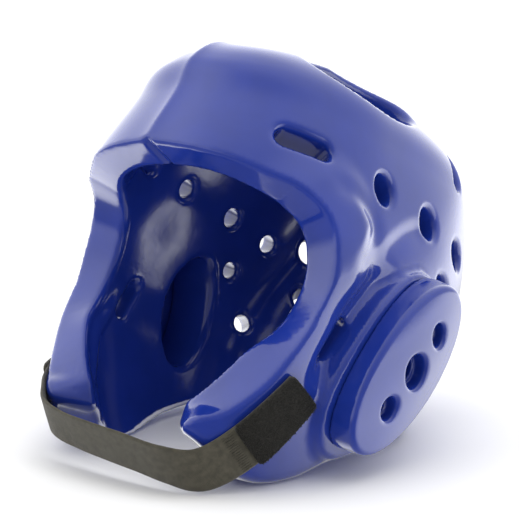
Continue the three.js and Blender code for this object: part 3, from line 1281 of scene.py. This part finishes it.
    def cut(self, space: FoamField, values: Array) -> None:
        """Cut the vents and the crown openings out of the shell's field, on both sides.

        Args:
            space: Voxels of the field.
            values: Distances, changed in place.
        """
        crown = Vent(self.crown_at, self.crown_length, self.crown_width, oval=True, edge=self.crown_edge)
        backward = np.array([0.0, 1.0, 0.0])
        places = [(vent, self.vent_axes(vent)) for vent in self.vents]
        places.append((crown, self.axes_at(self.form.crown_spot(*self.crown_at), backward)))
        for vent, axes in places:
            for side in Side:
                mirror = np.array([side.value, 1.0, 1.0])
                centre = self.pose.place(axes[0] * mirror)
                window = space.window(centre, vent.length / 2 + self.wall + self.margin)
                points = self.pose.upright(space.points(window)) * mirror
                bore = self.vent_distance(vent, points, axes)
                values[window] = round_max(values[window], -bore, vent.edge)

    def notch(self, space: FoamField, values: Array) -> None:
        """Press the small notch of the middle seam into the brow's edge.

        Args:
            space: Voxels of the field.
            values: Distances, changed in place.
        """
        v = self.form.row_of_height(np.array(self.face_rows[-1][0]))
        ahead = np.array(0.0)
        start = self.pose.place(self.form.outer(ahead, v, self.notch_past))
        end = self.pose.place(self.form.offset(ahead, v, -self.wall - self.notch_past))
        window = space.window((start + end) / 2, self.wall)
        away = space.points(window) - start
        line = end - start
        share = np.clip(away @ line / np.dot(line, line), 0.0, 1.0)
        groove = np.linalg.norm(away - share[..., None] * line, axis=-1) - self.notch_radius
        values[window] = round_max(values[window], -groove, self.notch_edge)

    def foam(self) -> tuple[FoamField, Array]:
        """Work out the shell's distance field.

        Returns:
            The voxels and their distances.
        """
        low, high = (np.array(corner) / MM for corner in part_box("shell"))
        space = FoamField(low - self.box_margin, high + self.box_margin, self.voxel)
        outer = space.distances(self.resting(self.form.dome(None)), self.band)
        inner = space.distances(self.resting(self.form.dome(self.wall)), self.band)
        face = space.distances(self.face_cutter(), self.band)
        height = self.pose.upright(space.points())[..., 2]
        low_down = 1.0 - smooth_step(height, *self.bulge_heights)
        beside = smooth_step(face, *self.bulge_rise)
        beside *= 1.0 - self.bulge_loss * smooth_step(face, *self.bulge_fall)
        inner += self.cheek_bulge * low_down * beside
        outside = round_max(outer, -face, self.face_edge)
        inside = round_max(-inner, -face, self.face_inner_edge)
        values = np.maximum(outside, inside)
        values = round_max(values, -space.distances(self.rim_cutter(), self.band), self.rim_edge)
        self.cut(space, values)
        self.notch(space, values)
        floor = -space.points()[..., 2]
        return space, round_max(values, floor, self.floor_edge)

    def resting(self, surface: Surface) -> Surface:
        """Move a surface of the head's frame to the resting frame."""
        return Surface(self.pose.place(surface.points), surface.quads, surface.triangles)

    def build(self, vinyl: bpy.types.Material) -> bpy.types.Object:
        """Make and dress the shell.

        Args:
            vinyl: Material of the skin.

        Returns:
            The shell.
        """
        space, values = self.foam()
        surface, normals = space.skin(values)
        piece = surface.add_to_scene("shell_foam", normals)
        settle_piece(piece, vinyl, "shell", "shell")
        return piece


# Ear pads


@dataclass(frozen=True)
class EarPad:
    """Thick oval pad over one ear."""

    shell: Shell
    side: Side
    y: float = 16.6
    z: float = -37.6
    length: float = 109.0
    width: float = 58.0
    lean: float = 30.0
    flare: float = 4.0
    crown: float = 16.8
    dome: float = 5.0
    rim: float = 2.4
    holes: tuple[tuple[float, float], ...] = ((-26, 12), (0, 18), (26, 12))
    hole_edge: float = 3.0
    step_depth: float = 8.0
    step_share: float = 0.74
    seat_gap: float = 0.3
    voxel: float = 1.0
    band: float = 6.0
    box_margin: float = 5.0
    dome_reach: float = 1.2

    def local(self, space: FoamField) -> Array:
        """Give the voxels' coordinates in the pad.

        Args:
            space: Voxels to place.

        Returns:
            Coordinates along, across and out of the pad.
        """
        form = self.shell.form
        lean = math.radians(self.lean)
        spot = form.side_spot(self.y, self.z)
        upward = np.array([0.0, math.sin(lean), math.cos(lean)])
        _, along, across, normal = self.shell.axes_at(spot, upward)
        origin = form.outer(np.array(spot[0]), np.array(spot[1]))
        points = self.shell.pose.upright(space.points()) * np.array([self.side.value, 1.0, 1.0])
        return (points - origin) @ np.stack([along, across, normal], -1)

    def foam(self) -> tuple[FoamField, Array]:
        """Work out the pad's distance field.

        Returns:
            The voxels and their distances.
        """
        low, high = (np.array(corner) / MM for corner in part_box(f"ear_pad_{self.side.name.lower()}"))
        space = FoamField(low - self.box_margin, high + self.box_margin, self.voxel)
        along, across, out = np.moveaxis(self.local(space), -1, 0)
        flare = self.flare * np.clip(1.0 - out / self.crown, 0.0, 1.0)
        half_long = (self.length + flare) / 2
        half_short = self.width / 2
        wall = oval_distance(along - flare / 2, across, half_long, half_short)
        reach = np.hypot(along / half_long, across / half_short)
        face = out - (self.crown - self.dome * np.minimum(reach, self.dome_reach) ** 2)
        values = round_max(wall, face, self.rim)
        for place, width in self.holes:
            radial = np.hypot(along - place, across)
            mouth = np.maximum(radial - width / 2, self.step_depth - out)
            bore = np.minimum(mouth, radial - self.step_share * width / 2)
            values = round_max(values, -bore, self.hole_edge)
        outer = space.distances(self.shell.resting(self.shell.form.dome(None)), self.band)
        return space, np.maximum(values, self.seat_gap - outer)

    def build(self, vinyl: bpy.types.Material) -> bpy.types.Object:
        """Make and dress the pad.

        Args:
            vinyl: Material of the skin.

        Returns:
            The pad.
        """
        name = self.side.name.lower()
        space, values = self.foam()
        surface, normals = space.skin(values)
        piece = surface.add_to_scene(f"ear_pad_{name}_foam", normals)
        settle_piece(piece, vinyl, "ear_pad", f"ear_pad_{name}")
        return piece


# Strap


@dataclass(frozen=True)
class StrapRoute:
    """Middle line of the webbing in the resting pose: x, y, z and how closely it hugs the form."""

    shell: Shell
    lean: float = math.radians(26.0)
    heading_step: float = 0.4
    stops: tuple[tuple[float, float, float, float], ...] = (
        (91, -81, 51, 1),
        (74, -106, 25, 1),
        (60, -122, 14, 0.5),
        (42, -130, 15.5, 0),
        (20, -133, 18.5, 0),
        (0, -134, 20, 0),
        (-25, -134, 22, 0),
        (-47, -131.5, 26, 0.4),
        (-60, -119.5, 30, 0.85),
        (-73, -104.5, 33, 1),
        (-84.5, -83.5, 36, 1),
    )

    def line(self, count: int = 4000) -> Array:
        """Draw the middle line as a curve that doesn't swing out between stops of uneven spacing.

        Args:
            count: Number of points of the line.

        Returns:
            Points, with the hug share as the fourth column.
        """
        table = np.array(self.stops, dtype=float)
        stops = table[:, :3]
        points = np.vstack([2 * stops[0] - stops[1], stops, 2 * stops[-1] - stops[-2]])
        place = np.linspace(0.0, len(table) - 1.0, count)
        row = np.minimum(place.astype(int), len(table) - 2)
        share = (place - row)[:, None]
        a, b, c, d = (points[row + step] for step in range(4))
        spans = (b - a, c - b, d - c)
        first, middle, last = (np.linalg.norm(span, axis=1, keepdims=True) ** 0.5 for span in spans)
        leave = ((b - a) / first - (c - a) / (first + middle) + (c - b) / middle) * middle
        arrive = ((c - b) / middle - (d - b) / (middle + last) + (d - c) / last) * middle
        bend = -3 * b + 3 * c - 2 * leave - arrive
        twist = 2 * b - 2 * c + leave + arrive
        curve = b + leave * share + bend * share**2 + twist * share**3
        hug = np.interp(place, np.arange(len(table)), table[:, 3])
        return np.column_stack([curve, hug])

    def length(self) -> float:
        """Give the length of the middle line."""
        return float(np.linalg.norm(np.diff(self.line()[:, :3], axis=0), axis=1).sum())

    def stations(self, shares: Array) -> tuple[Array, Array, Array]:
        """Read the route at shares of its length, which may pass the ends.

        Args:
            shares: Shares of the length.

        Returns:
            Points, directions and hug shares.
        """
        line = self.line()
        run = run_lengths(line[:, :3])
        inside = np.clip(shares, 0.0, 1.0)
        at = inside * run[-1]
        read = read_line(line, run, at)
        ahead = read_line(line[:, :3], run, at + self.heading_step)
        behind = read_line(line[:, :3], run, at - self.heading_step)
        tangent = unit(ahead - behind)
        past = (shares - inside) * run[-1]
        return read[:, :3] + tangent * past[:, None], tangent, read[:, 3]

    def seat(self, points: Array, clearance: float, share: Array) -> Array:
        """Draw points towards the form.

        Args:
            points: Places in the resting frame.
            clearance: Distance over the form that they are drawn to.
            share: Share of the way, for each place.

        Returns:
            Moved places.
        """
        form, pose = self.shell.form, self.shell.pose
        upright = pose.upright(points)
        v = form.row_of_height(upright[..., 2])
        phi = np.arctan2(upright[..., 0], form.axis_y - upright[..., 1])
        normal = form.normal(phi, v)
        over = np.sum((upright - form.outer(phi, v)) * normal, axis=-1)
        moved = upright + normal * ((clearance - over) * share)[..., None]
        return pose.place(moved)

    def middle_face(self, shares: Array, offsets: Array, clearance: float) -> tuple[Array, Array, Array]:
        """Lay the under face of a band along the route.

        Args:
            shares: Shares of the route's length, one for each row.
            offsets: Distances across the band, one row for each share.
            clearance: Clearance over the form.

        Returns:
            Points, outward directions and directions along, for each row and offset.
        """
        middle, tangent, hug = self.stations(shares)
        upward = np.array([0.0, -math.sin(self.lean), math.cos(self.lean)])
        across = unit(upward - tangent * (tangent @ upward)[:, None])
        points = middle[:, None, :] + across[:, None, :] * offsets[..., None]
        points = self.seat(points, clearance, np.broadcast_to(hug[:, None], offsets.shape))
        chord = unit(points[:, -1] - points[:, 0])
        outward = unit(np.cross(chord, tangent))
        shape = points.shape
        along = np.broadcast_to(tangent[:, None, :], shape)
        return points, np.broadcast_to(outward[:, None, :], shape), along


@dataclass(frozen=True)
class Band:
    """Flat band along a stretch of the strap's route."""

    route: StrapRoute
    width: float
    thick: float
    start: float
    end: float
    clearance: float
    steps: int
    across: int
    corner: float = 0.0
    crowding: float = 0.65
    edge_softness: float = 0.3

    def half_widths(self, shares: Array) -> Array:
        """Give the half width, drawn in at round corners.

        Args:
            shares: Shares of the route's length.

        Returns:
            Half width at each share.
        """
        run = (shares - self.start) * self.route.length()
        rest = (self.end - shares) * self.route.length()
        inset = np.zeros_like(shares)
        if self.corner > 0:
            near = np.clip(self.corner - np.minimum(run, rest), 0.0, self.corner)
            inset = self.corner - np.sqrt(np.maximum(self.corner**2 - near**2, 0.0))
        return self.width / 2 - inset

    def shares(self) -> Array:
        """Space the rows, closer together near round corners.

        Returns:
            Share of the route's length at each row.
        """
        places = np.linspace(0.0, 1.0, self.steps + 1)
        if self.corner > 0:
            crowded = 0.5 - 0.5 * np.cos(math.pi * places)
            places = (1.0 - self.crowding) * places + self.crowding * crowded
        return self.start + (self.end - self.start) * places

    def face(self) -> tuple[Array, Array, Array, Array]:
        """Lay the under face of the band.

        Returns:
            Points, outward directions, directions along and flat coordinates.
        """
        shares = self.shares()
        spread = np.linspace(-1.0, 1.0, self.across + 1)
        offsets = self.half_widths(shares)[:, None] * spread[None, :]
        points, outward, along = self.route.middle_face(shares, offsets, self.clearance)
        run = np.broadcast_to(((shares - self.start) * self.route.length())[:, None], offsets.shape)
        return points, outward, along, np.stack([offsets, run], -1)

    def build(self, name: str, bulge: Array | None = None) -> bpy.types.Object:
        """Make the band as one closed body with a UV map in metres.

        Args:
            name: Name of the piece.
            bulge: Extra rise of the outer face, for each row and offset.

        Returns:
            The new piece.
        """
        points, outward, _, flat = self.face()
        rise = np.full(points.shape[:2], self.thick) if bulge is None else self.thick + bulge
        edge = np.minimum(np.arange(self.across + 1), np.arange(self.across + 1)[::-1])
        soft = np.where(edge == 0, self.edge_softness * self.thick, 0.0)
        inner = points + outward * soft[None, :, None]
        outer = points + outward * (rise - soft[None, :])[..., None]
        rings = np.concatenate([inner, outer[:, ::-1]], axis=1)
        count = 2 * (self.across + 1)
        quads = np.vstack([ring_quads(len(rings), count), strip_caps(len(rings), count)])
        piece = Surface(rings.reshape(-1, 3), quads[:, ::-1]).add_to_scene(name)
        places = np.concatenate([flat, flat[:, ::-1]], axis=1).reshape(-1, 2) * MM
        self.map_weave(piece.data, places)
        return piece

    @staticmethod
    def map_weave(mesh: bpy.types.Mesh, places: Array) -> None:
        """Write flat places as the mesh's UV map.

        Args:
            mesh: Mesh to map.
            places: Flat place of each point in metres.
        """
        corners = np.zeros(len(mesh.loops), dtype=np.int32)
        mesh.loops.foreach_get("vertex_index", corners)
        layer = mesh.uv_layers.new(name="weave")
        layer.data.foreach_set("uv", places[corners].astype(np.float32).ravel())

    def flat_size(self) -> tuple[float, float]:
        """Give the flat width and length in metres."""
        return self.width * MM, (self.end - self.start) * self.route.length() * MM


# Direction that no stitch runs in, and how far the ends of a stitch are drawn in
ASKEW = np.array([0.31, 0.17, 0.93])
STITCH_END = 0.97


def thread_tubes(name: str, lines: Sequence[Array], radius: float, sides: int = 5) -> bpy.types.Object:
    """Make stitches as thin tubes in one mesh, which narrow to their ends.

    Args:
        name: Name of the piece.
        lines: Points of each stitch, in millimetres.
        radius: Radius of the thread.
        sides: Sides of the thread.

    Returns:
        The new piece.
    """
    points: list[Array] = []
    quads: list[Array] = []
    start = 0
    turn = 2 * math.pi * np.arange(sides)[None, :, None] / sides
    for line in lines:
        tangent = unit(np.gradient(line, axis=0))
        first = unit(np.cross(tangent, ASKEW))
        second = np.cross(tangent, first)
        girth = radius * np.sqrt(1.0 - np.linspace(-STITCH_END, STITCH_END, len(line)) ** 4)
        ring = np.cos(turn) * first[:, None, :] + np.sin(turn) * second[:, None, :]
        points.append((line[:, None, :] + girth[:, None, None] * ring).reshape(-1, 3))
        quads.append(ring_quads(len(line), sides) + start)
        start += len(line) * sides
    return Surface(np.vstack(points), np.vstack(quads)).add_to_scene(name)


@dataclass(frozen=True)
class ChinStrap:
    """Elastic chin strap with its stitched end."""

    route: StrapRoute
    width: float = 25.0
    thick: float = 1.6
    seat: float = 0.4
    steps: int = 300
    across: int = 28
    ripple: float = 0.35
    ripple_lengths: tuple[float, float] = (17.0, 41.0)
    ripple_skew: float = 0.03
    ripple_phase: float = 1.0
    tack_from: float = 0.169
    tack_to: float = 0.205
    tacks: int = 17
    tack_margin: float = 1.5
    tack_steps: int = 9
    tack_arch: float = 1.4
    tack_sink: float = 0.6
    thread: float = 0.28

    def band(self) -> Band:
        """Give the strap's band over the whole route."""
        return Band(self.route, self.width, self.thick, 0.0, 1.0, self.seat, self.steps, self.across)

    def build(self, webbing: bpy.types.Material, thread: bpy.types.Material) -> list[bpy.types.Object]:
        """Make and dress the strap and its stitches.

        Args:
            webbing: Material of the strap.
            thread: Material of the stitches.

        Returns:
            The strap and its stitches.
        """
        band = self.band()
        _, _, _, flat = band.face()
        run = flat[..., 1]
        short, long = self.ripple_lengths
        slack = np.sin(run / short + self.ripple_skew * flat[..., 0]) * np.sin(run / long + self.ripple_phase)
        strap = band.build("chin_strap_webbing", self.ripple * slack)
        settle_piece(strap, webbing, "strap", "chin_strap")
        band.flat_size()
        stitches = thread_tubes("chin_strap_stitches", self.tack_lines(), self.thread)
        settle_piece(stitches, thread, "strap")
        return [strap, stitches]

    def tack_lines(self) -> list[Array]:
        """Lay the bar tacks beside the closure tab.

        Returns:
            Points of each tack.
        """
        shares = np.linspace(self.tack_from, self.tack_to, self.tack_steps)
        reach = self.width / 2 - self.tack_margin
        offsets = np.linspace(-reach, reach, self.tacks)
        grid = np.broadcast_to(offsets[None, :], (len(shares), self.tacks))
        points, outward, _ = self.route.middle_face(shares, grid, self.seat)
        arch = np.sin(np.linspace(0.0, math.pi, len(shares)))[:, None, None]
        lifted = points + outward * (self.thick + self.thread * (self.tack_arch * arch - self.tack_sink))
        return [lifted[:, k] for k in range(self.tacks)]


@dataclass(frozen=True)
class ClosureTab:
    """Hook-and-loop tab over the strap's end on the left cheek."""

    route: StrapRoute
    strap: ChinStrap
    gap: float = 0.3
    width: float = 27.0
    thick: float = 2.0
    start: float = -0.004
    end: float = 0.165
    corner: float = 3.0
    steps: int = 70
    across: int = 44
    tufts: int = 5200
    tuft_length: float = 1.1
    tuft_sizes: tuple[float, float] = (0.5, 1.0)
    tuft_bends: tuple[float, float] = (0.35, 0.95)
    tuft_sink: float = 0.1
    tuft_sides: int = 3
    stem_rises: tuple[float, ...] = (0.0, 0.55, 0.75)
    stem_leans: tuple[float, ...] = (0.0, 0.2, 0.9)
    stem_girths: tuple[float, ...] = (0.16, 0.13, 0.04)
    bare_rows: float = 0.4
    bare_columns: float = 0.6
    seed: int = 11

    def band(self) -> Band:
        """Lay the tab's band over the strap.

        Returns:
            The band.
        """
        clearance = self.strap.seat + self.strap.thick + self.gap
        stretch = (self.start, self.end, clearance, self.steps, self.across, self.corner)
        return Band(self.route, self.width, self.thick, *stretch)

    def build(self, pile: bpy.types.Material) -> list[bpy.types.Object]:
        """Make and dress the tab and its pile.

        Args:
            pile: Material of the tab.

        Returns:
            The tab and its pile.
        """
        band = self.band()
        tab = band.build("closure_tab_base")
        settle_piece(tab, pile, "closure_tab", "closure_tab")
        band.flat_size()
        fuzz = self.fuzz(band)
        settle_piece(fuzz, pile, "closure_tab")
        return [tab, fuzz]

    def fuzz(self, band: Band) -> bpy.types.Object:
        """Make the pile as short curled tufts.

        Args:
            band: Band that the pile grows on.

        Returns:
            The pile.
        """
        draw = np.random.default_rng(self.seed)
        points, outward, along, _ = band.face()
        rows, columns = points.shape[:2]
        place_row = draw.uniform(self.bare_rows, rows - 1 - self.bare_rows, self.tufts)
        place_column = draw.uniform(self.bare_columns, columns - 1 - self.bare_columns, self.tufts)
        row, column = place_row.astype(int), place_column.astype(int)
        share_row, share_column = (place_row - row)[:, None], (place_column - column)[:, None]
        near = mix(points[row, column], points[row, column + 1], share_column)
        far = mix(points[row + 1, column], points[row + 1, column + 1], share_column)
        out = outward[row, column]
        root = mix(near, far, share_row) + out * (self.thick - self.tuft_sink)
        heading = draw.uniform(0.0, 2 * math.pi, self.tufts)[:, None]
        ahead = along[row, column]
        lean = np.cos(heading) * ahead + np.sin(heading) * np.cross(out, ahead)
        size = self.tuft_length * draw.uniform(*self.tuft_sizes, self.tufts)[:, None]
        bend = draw.uniform(*self.tuft_bends, self.tufts)[:, None]
        shape = zip(self.stem_rises, self.stem_leans)
        stems = np.stack([root + size * (rise * out + tip * bend * lean) for rise, tip in shape], axis=1)
        girth = np.array(self.stem_girths)[None, :, None]
        side = unit(np.cross(lean, out))
        turn = 2 * math.pi * np.arange(self.tuft_sides) / self.tuft_sides
        ring = [stems + girth * (math.cos(t) * side + math.sin(t) * out)[:, None, :] for t in turn]
        mesh_points = np.stack(ring, axis=2).reshape(-1, 3)
        rings = len(self.stem_girths)
        first = rings * self.tuft_sides * np.arange(self.tufts)
        quads = ring_quads(rings, self.tuft_sides)[None, :, :] + first[:, None, None]
        return Surface(mesh_points, quads.reshape(-1, 4)).add_to_scene("closure_tab_pile")


@dataclass(frozen=True)
class StrapAnchor:
    """Plain patch over the strap's far end on the right cheek."""

    route: StrapRoute
    strap: ChinStrap
    gap: float = 0.3
    width: float = 27.0
    thick: float = 2.2
    start: float = 0.9
    end: float = 1.004
    corner: float = 3.0
    steps: int = 48
    across: int = 28
    border_rows: int = 7
    border_columns: int = 3
    stitch: float = 2.6
    stitch_pitch: float = 1.25
    stitch_steps: int = 7
    stitch_arch: float = 1.3
    stitch_sink: float = 0.6
    thread: float = 0.3

    def band(self) -> Band:
        """Lay the patch's band over the strap.

        Returns:
            The band.
        """
        clearance = self.strap.seat + self.strap.thick + self.gap
        stretch = (self.start, self.end, clearance, self.steps, self.across, self.corner)
        return Band(self.route, self.width, self.thick, *stretch)

    def build(self, webbing: bpy.types.Material, thread: bpy.types.Material) -> list[bpy.types.Object]:
        """Make and dress the patch and its stitched border.

        Args:
            webbing: Material of the patch.
            thread: Material of the stitches.

        Returns:
            The patch and its stitches.
        """
        band = self.band()
        patch = band.build("strap_anchor_patch")
        settle_piece(patch, webbing, "strap", "strap_anchor")
        band.flat_size()
        stitches = thread_tubes("strap_anchor_stitches", self.border(band), self.thread)
        settle_piece(stitches, thread, "strap")
        return [patch, stitches]

    def border(self, band: Band) -> list[Array]:
        """Lay the stitches of the patch's border.

        Args:
            band: Band that the stitches lie on.

        Returns:
            Points of each stitch.
        """
        points, outward, _, _ = band.face()
        raised = points + outward * self.thick
        inner = raised[self.border_rows:-self.border_rows, self.border_columns:-self.border_columns]
        line = np.vstack([inner[:, 0], inner[-1], inner[::-1, -1], inner[0, ::-1]])
        run = run_lengths(line)
        arch = np.sin(np.linspace(0.0, math.pi, self.stitch_steps))[:, None]
        lift = outward[0, 0] * self.thread * (self.stitch_arch * arch - self.stitch_sink)
        starts = np.arange(0.0, run[-1] - self.stitch, self.stitch * self.stitch_pitch)
        spans = (np.linspace(start, start + self.stitch, self.stitch_steps) for start in starts)
        return [read_line(line, run, at) + lift for at in spans]


# Studio


@dataclass(frozen=True)
class Studio:
    """Floor, white tent, soft box and camera.

    The fades tell how bright each part of the tent is, by how far a direction points upward, towards the
    camera, to one side of the picture or to the tent's far corner.
    """

    azimuth: float = math.radians(41.111)
    elevation: float = math.radians(6.442)
    focal_pixels: float = 1107.5
    image_pixels: float = 520.0
    sensor: float = 36.0
    clip_start: float = 0.01
    camera_at: tuple[float, float, float] = (0.42875, -0.50086, 0.17729)
    floor_half: float = 4.0
    box_at: tuple[float, float, float] = (0.1, 0.1, 1.7)
    box_aim: tuple[float, float, float] = (0.0, 0.0, 0.12)
    box_size: tuple[float, float] = (1.8, 1.8)
    box_power: float = 9.0
    sky: float = 1.25
    fill_front: Fade = Fade((0.2, 0.95), (1.45, 0.65))
    wall: Fade = Fade((-0.15, 0.08), (0.5, 1.05))
    roof: Fade = Fade((0.3, 0.85), (0.0, 0.35))
    front: Fade = Fade((0.15, 0.95), (1.0, 0.42))
    far_wall: Fade = Fade((0.35, 0.8), (0.0, 0.65))
    far_foot: Fade = Fade((-0.15, 0.08), (0.0, 1.0))
    corner: Fade = Fade((0.88, 0.98), (0.0, 2.2))
    corner_turn: float = math.radians(140.0)
    corner_drop: float = math.radians(-30.0)
    backdrop: Fade = Fade((-0.3, -0.95), (0.0, 1.0))
    backdrop_foot: Fade = Fade((-0.24, -0.08), (0.0, 1.0))
    near_wall: Fade = Fade((0.3, 0.95), (0.0, 2.6))
    near_top: Fade = Fade((0.1, -0.06), (0.0, 1.0))
    near_foot: Fade = Fade((-0.75, -0.35), (0.25, 1.0))

    def back(self) -> Vector:
        """Give the direction from the guard to the camera."""
        return self.heading(self.azimuth, self.elevation)

    @staticmethod
    def heading(azimuth: float, elevation: float) -> Vector:
        """Give the unit direction of an azimuth and an elevation.

        Args:
            azimuth: Angle from the front towards the left.
            elevation: Angle above the horizon.

        Returns:
            The direction.
        """
        flat = math.cos(elevation)
        return Vector((math.sin(azimuth) * flat, -math.cos(azimuth) * flat, math.sin(elevation)))

    def add_camera(self) -> None:
        """Place the camera at the photograph's viewing angle."""
        lens = bpy.data.cameras.new("camera")
        lens.sensor_width = self.sensor
        lens.lens = self.focal_pixels / self.image_pixels * self.sensor
        lens.clip_start = self.clip_start
        camera = bpy.data.objects.new("camera", lens)
        camera.location = self.camera_at
        camera.rotation_euler = self.back().to_track_quat("Z", "Y").to_euler()
        bpy.context.scene.collection.objects.link(camera)
        bpy.context.scene.camera = camera

    def add_floor(self) -> bpy.types.Object:
        """Lay the floor, which glossy rays don't see.

        Returns:
            The floor.
        """
        square = np.array([[-1.0, -1.0, 0.0], [1.0, -1.0, 0.0], [1.0, 1.0, 0.0], [-1.0, 1.0, 0.0]])
        corners = square * self.floor_half / MM
        floor = Surface(corners, np.array([[0, 1, 2, 3]])).add_to_scene("floor")
        floor.data.materials.append(PaleFloor().material("pale_floor"))
        floor.visible_glossy = False
        return floor

    def add_light(self) -> None:
        """Hang a soft box over the guard."""
        light = bpy.data.lights.new("top_box", "AREA")
        light.shape = "RECTANGLE"
        light.size, light.size_y = self.box_size
        light.energy = self.box_power
        lamp = bpy.data.objects.new("top_box", light)
        lamp.location = self.box_at
        lamp.visible_glossy = False
        lamp.rotation_euler = (Vector(self.box_at) - Vector(self.box_aim)).to_track_quat("Z", "Y").to_euler()
        bpy.context.scene.collection.objects.link(lamp)

    def far_corner(self) -> Vector:
        """Give the direction of the tent's lit lower corner, behind the guard on its far side."""
        return self.heading(self.azimuth - self.corner_turn, self.corner_drop)

    def shine(self, nodes: NodeTree) -> bpy.types.NodeSocket:
        """Work out how bright the tent is in each direction, as the gloss sees it.

        Args:
            nodes: Nodes of the world.

        Returns:
            Socket with the brightness.
        """
        places = nodes.add("ShaderNodeTexCoord").outputs["Generated"]
        right = Vector((math.cos(self.azimuth), math.sin(self.azimuth), 0.0))
        upward = nodes.along(places, Vector((0.0, 0.0, 1.0)))
        forward = nodes.along(places, self.back())
        rightward = nodes.along(places, right)
        leftward = nodes.along(places, -right)
        over = nodes.combine("ADD", nodes.ease(upward, self.wall), nodes.ease(upward, self.roof))
        tent = nodes.combine("MULTIPLY", over, nodes.ease(forward, self.front))
        far_foot = nodes.ease(upward, self.far_foot)
        far_side = nodes.combine("MULTIPLY", nodes.ease(leftward, self.far_wall), far_foot)
        backdrop_foot = nodes.ease(upward, self.backdrop_foot)
        behind = nodes.combine("MULTIPLY", nodes.ease(forward, self.backdrop), backdrop_foot)
        corner = nodes.ease(nodes.along(places, self.far_corner()), self.corner)
        near_foot = nodes.ease(upward, self.near_foot)
        sweep = nodes.combine("MULTIPLY", nodes.ease(upward, self.near_top), near_foot)
        bright = nodes.combine("MULTIPLY", nodes.ease(rightward, self.near_wall), sweep)
        for part in (tent, far_side, behind, corner):
            bright = nodes.combine("ADD", bright, part)
        return bright

    def fill(self, nodes: NodeTree) -> bpy.types.NodeSocket:
        """Work out how bright the tent is in each direction as matt surfaces see it.

        Args:
            nodes: Nodes of the world.

        Returns:
            Socket with the brightness.
        """
        places = nodes.add("ShaderNodeTexCoord").outputs["Generated"]
        return nodes.ease(nodes.along(places, self.back()), self.fill_front)

    def add_world(self) -> None:
        """Surround the guard with a white tent that its gloss sees as brighter above and at the sides."""
        world = bpy.data.worlds.new("tent")
        world.use_nodes = True
        bpy.context.scene.world = world
        nodes = NodeTree(world.node_tree)
        output = nodes.add("ShaderNodeOutputWorld")
        shade = nodes.add("ShaderNodeBackground", Color=WHITE)
        nodes.join(self.shine(nodes), shade.inputs["Strength"])
        soft = nodes.add("ShaderNodeBackground", Color=WHITE)
        nodes.join(self.fill(nodes), soft.inputs["Strength"])
        plain = nodes.add("ShaderNodeBackground", Color=WHITE, Strength=self.sky)
        path = nodes.add("ShaderNodeLightPath")
        seen = plain.outputs["Background"]
        for ray, part in (("Is Diffuse Ray", soft), ("Is Glossy Ray", shade)):
            mix = nodes.add("ShaderNodeMixShader")
            nodes.join(path.outputs[ray], mix.inputs["Fac"])
            nodes.join(seen, mix.inputs[1])
            nodes.join(part.outputs["Background"], mix.inputs[2])
            seen = mix.outputs["Shader"]
        nodes.join(seen, output.inputs["Surface"])

    def build(self) -> None:
        """Set up the camera, the floor, the tent and the soft box."""
        self.add_camera()
        self.add_floor()
        self.add_world()
        self.add_light()
        bpy.context.scene.view_settings.view_transform = "Standard"


def report(*pieces: bpy.types.Object) -> None:
    """Log the name and triangle count of pieces."""
    for piece in pieces:
        faces = sum(len(face.vertices) - 2 for face in piece.data.polygons)
        LOG.info("%s: %d triangles", piece.name, faces)


def main() -> None:
    """Build the guard piece by piece, then the studio."""
    logging.basicConfig(level=logging.INFO, format="%(name)s %(message)s")
    vinyl = DippedVinyl().material("dipped_vinyl")
    pad_vinyl = DippedVinyl(light=(0.015, 0.036, 0.285, 1.0)).material("dipped_pad_vinyl")
    webbing = Webbing().material("elastic_webbing")
    thread = LoopPile(dark=(0.02, 0.018, 0.012, 1.0), pale=(0.07, 0.064, 0.046, 1.0)).material("strap_thread")
    pile = LoopPile().material("loop_pile")
    shell = Shell(HeadForm(), RestPose())
    report(shell.build(vinyl))
    for side in Side:
        report(EarPad(shell, side).build(pad_vinyl))
    route = StrapRoute(shell)
    strap = ChinStrap(route)
    report(*strap.build(webbing, thread))
    report(*ClosureTab(route, strap).build(pile))
    report(*StrapAnchor(route, strap).build(webbing, thread))
    Studio().build()


if __name__ == "__main__":
    main()
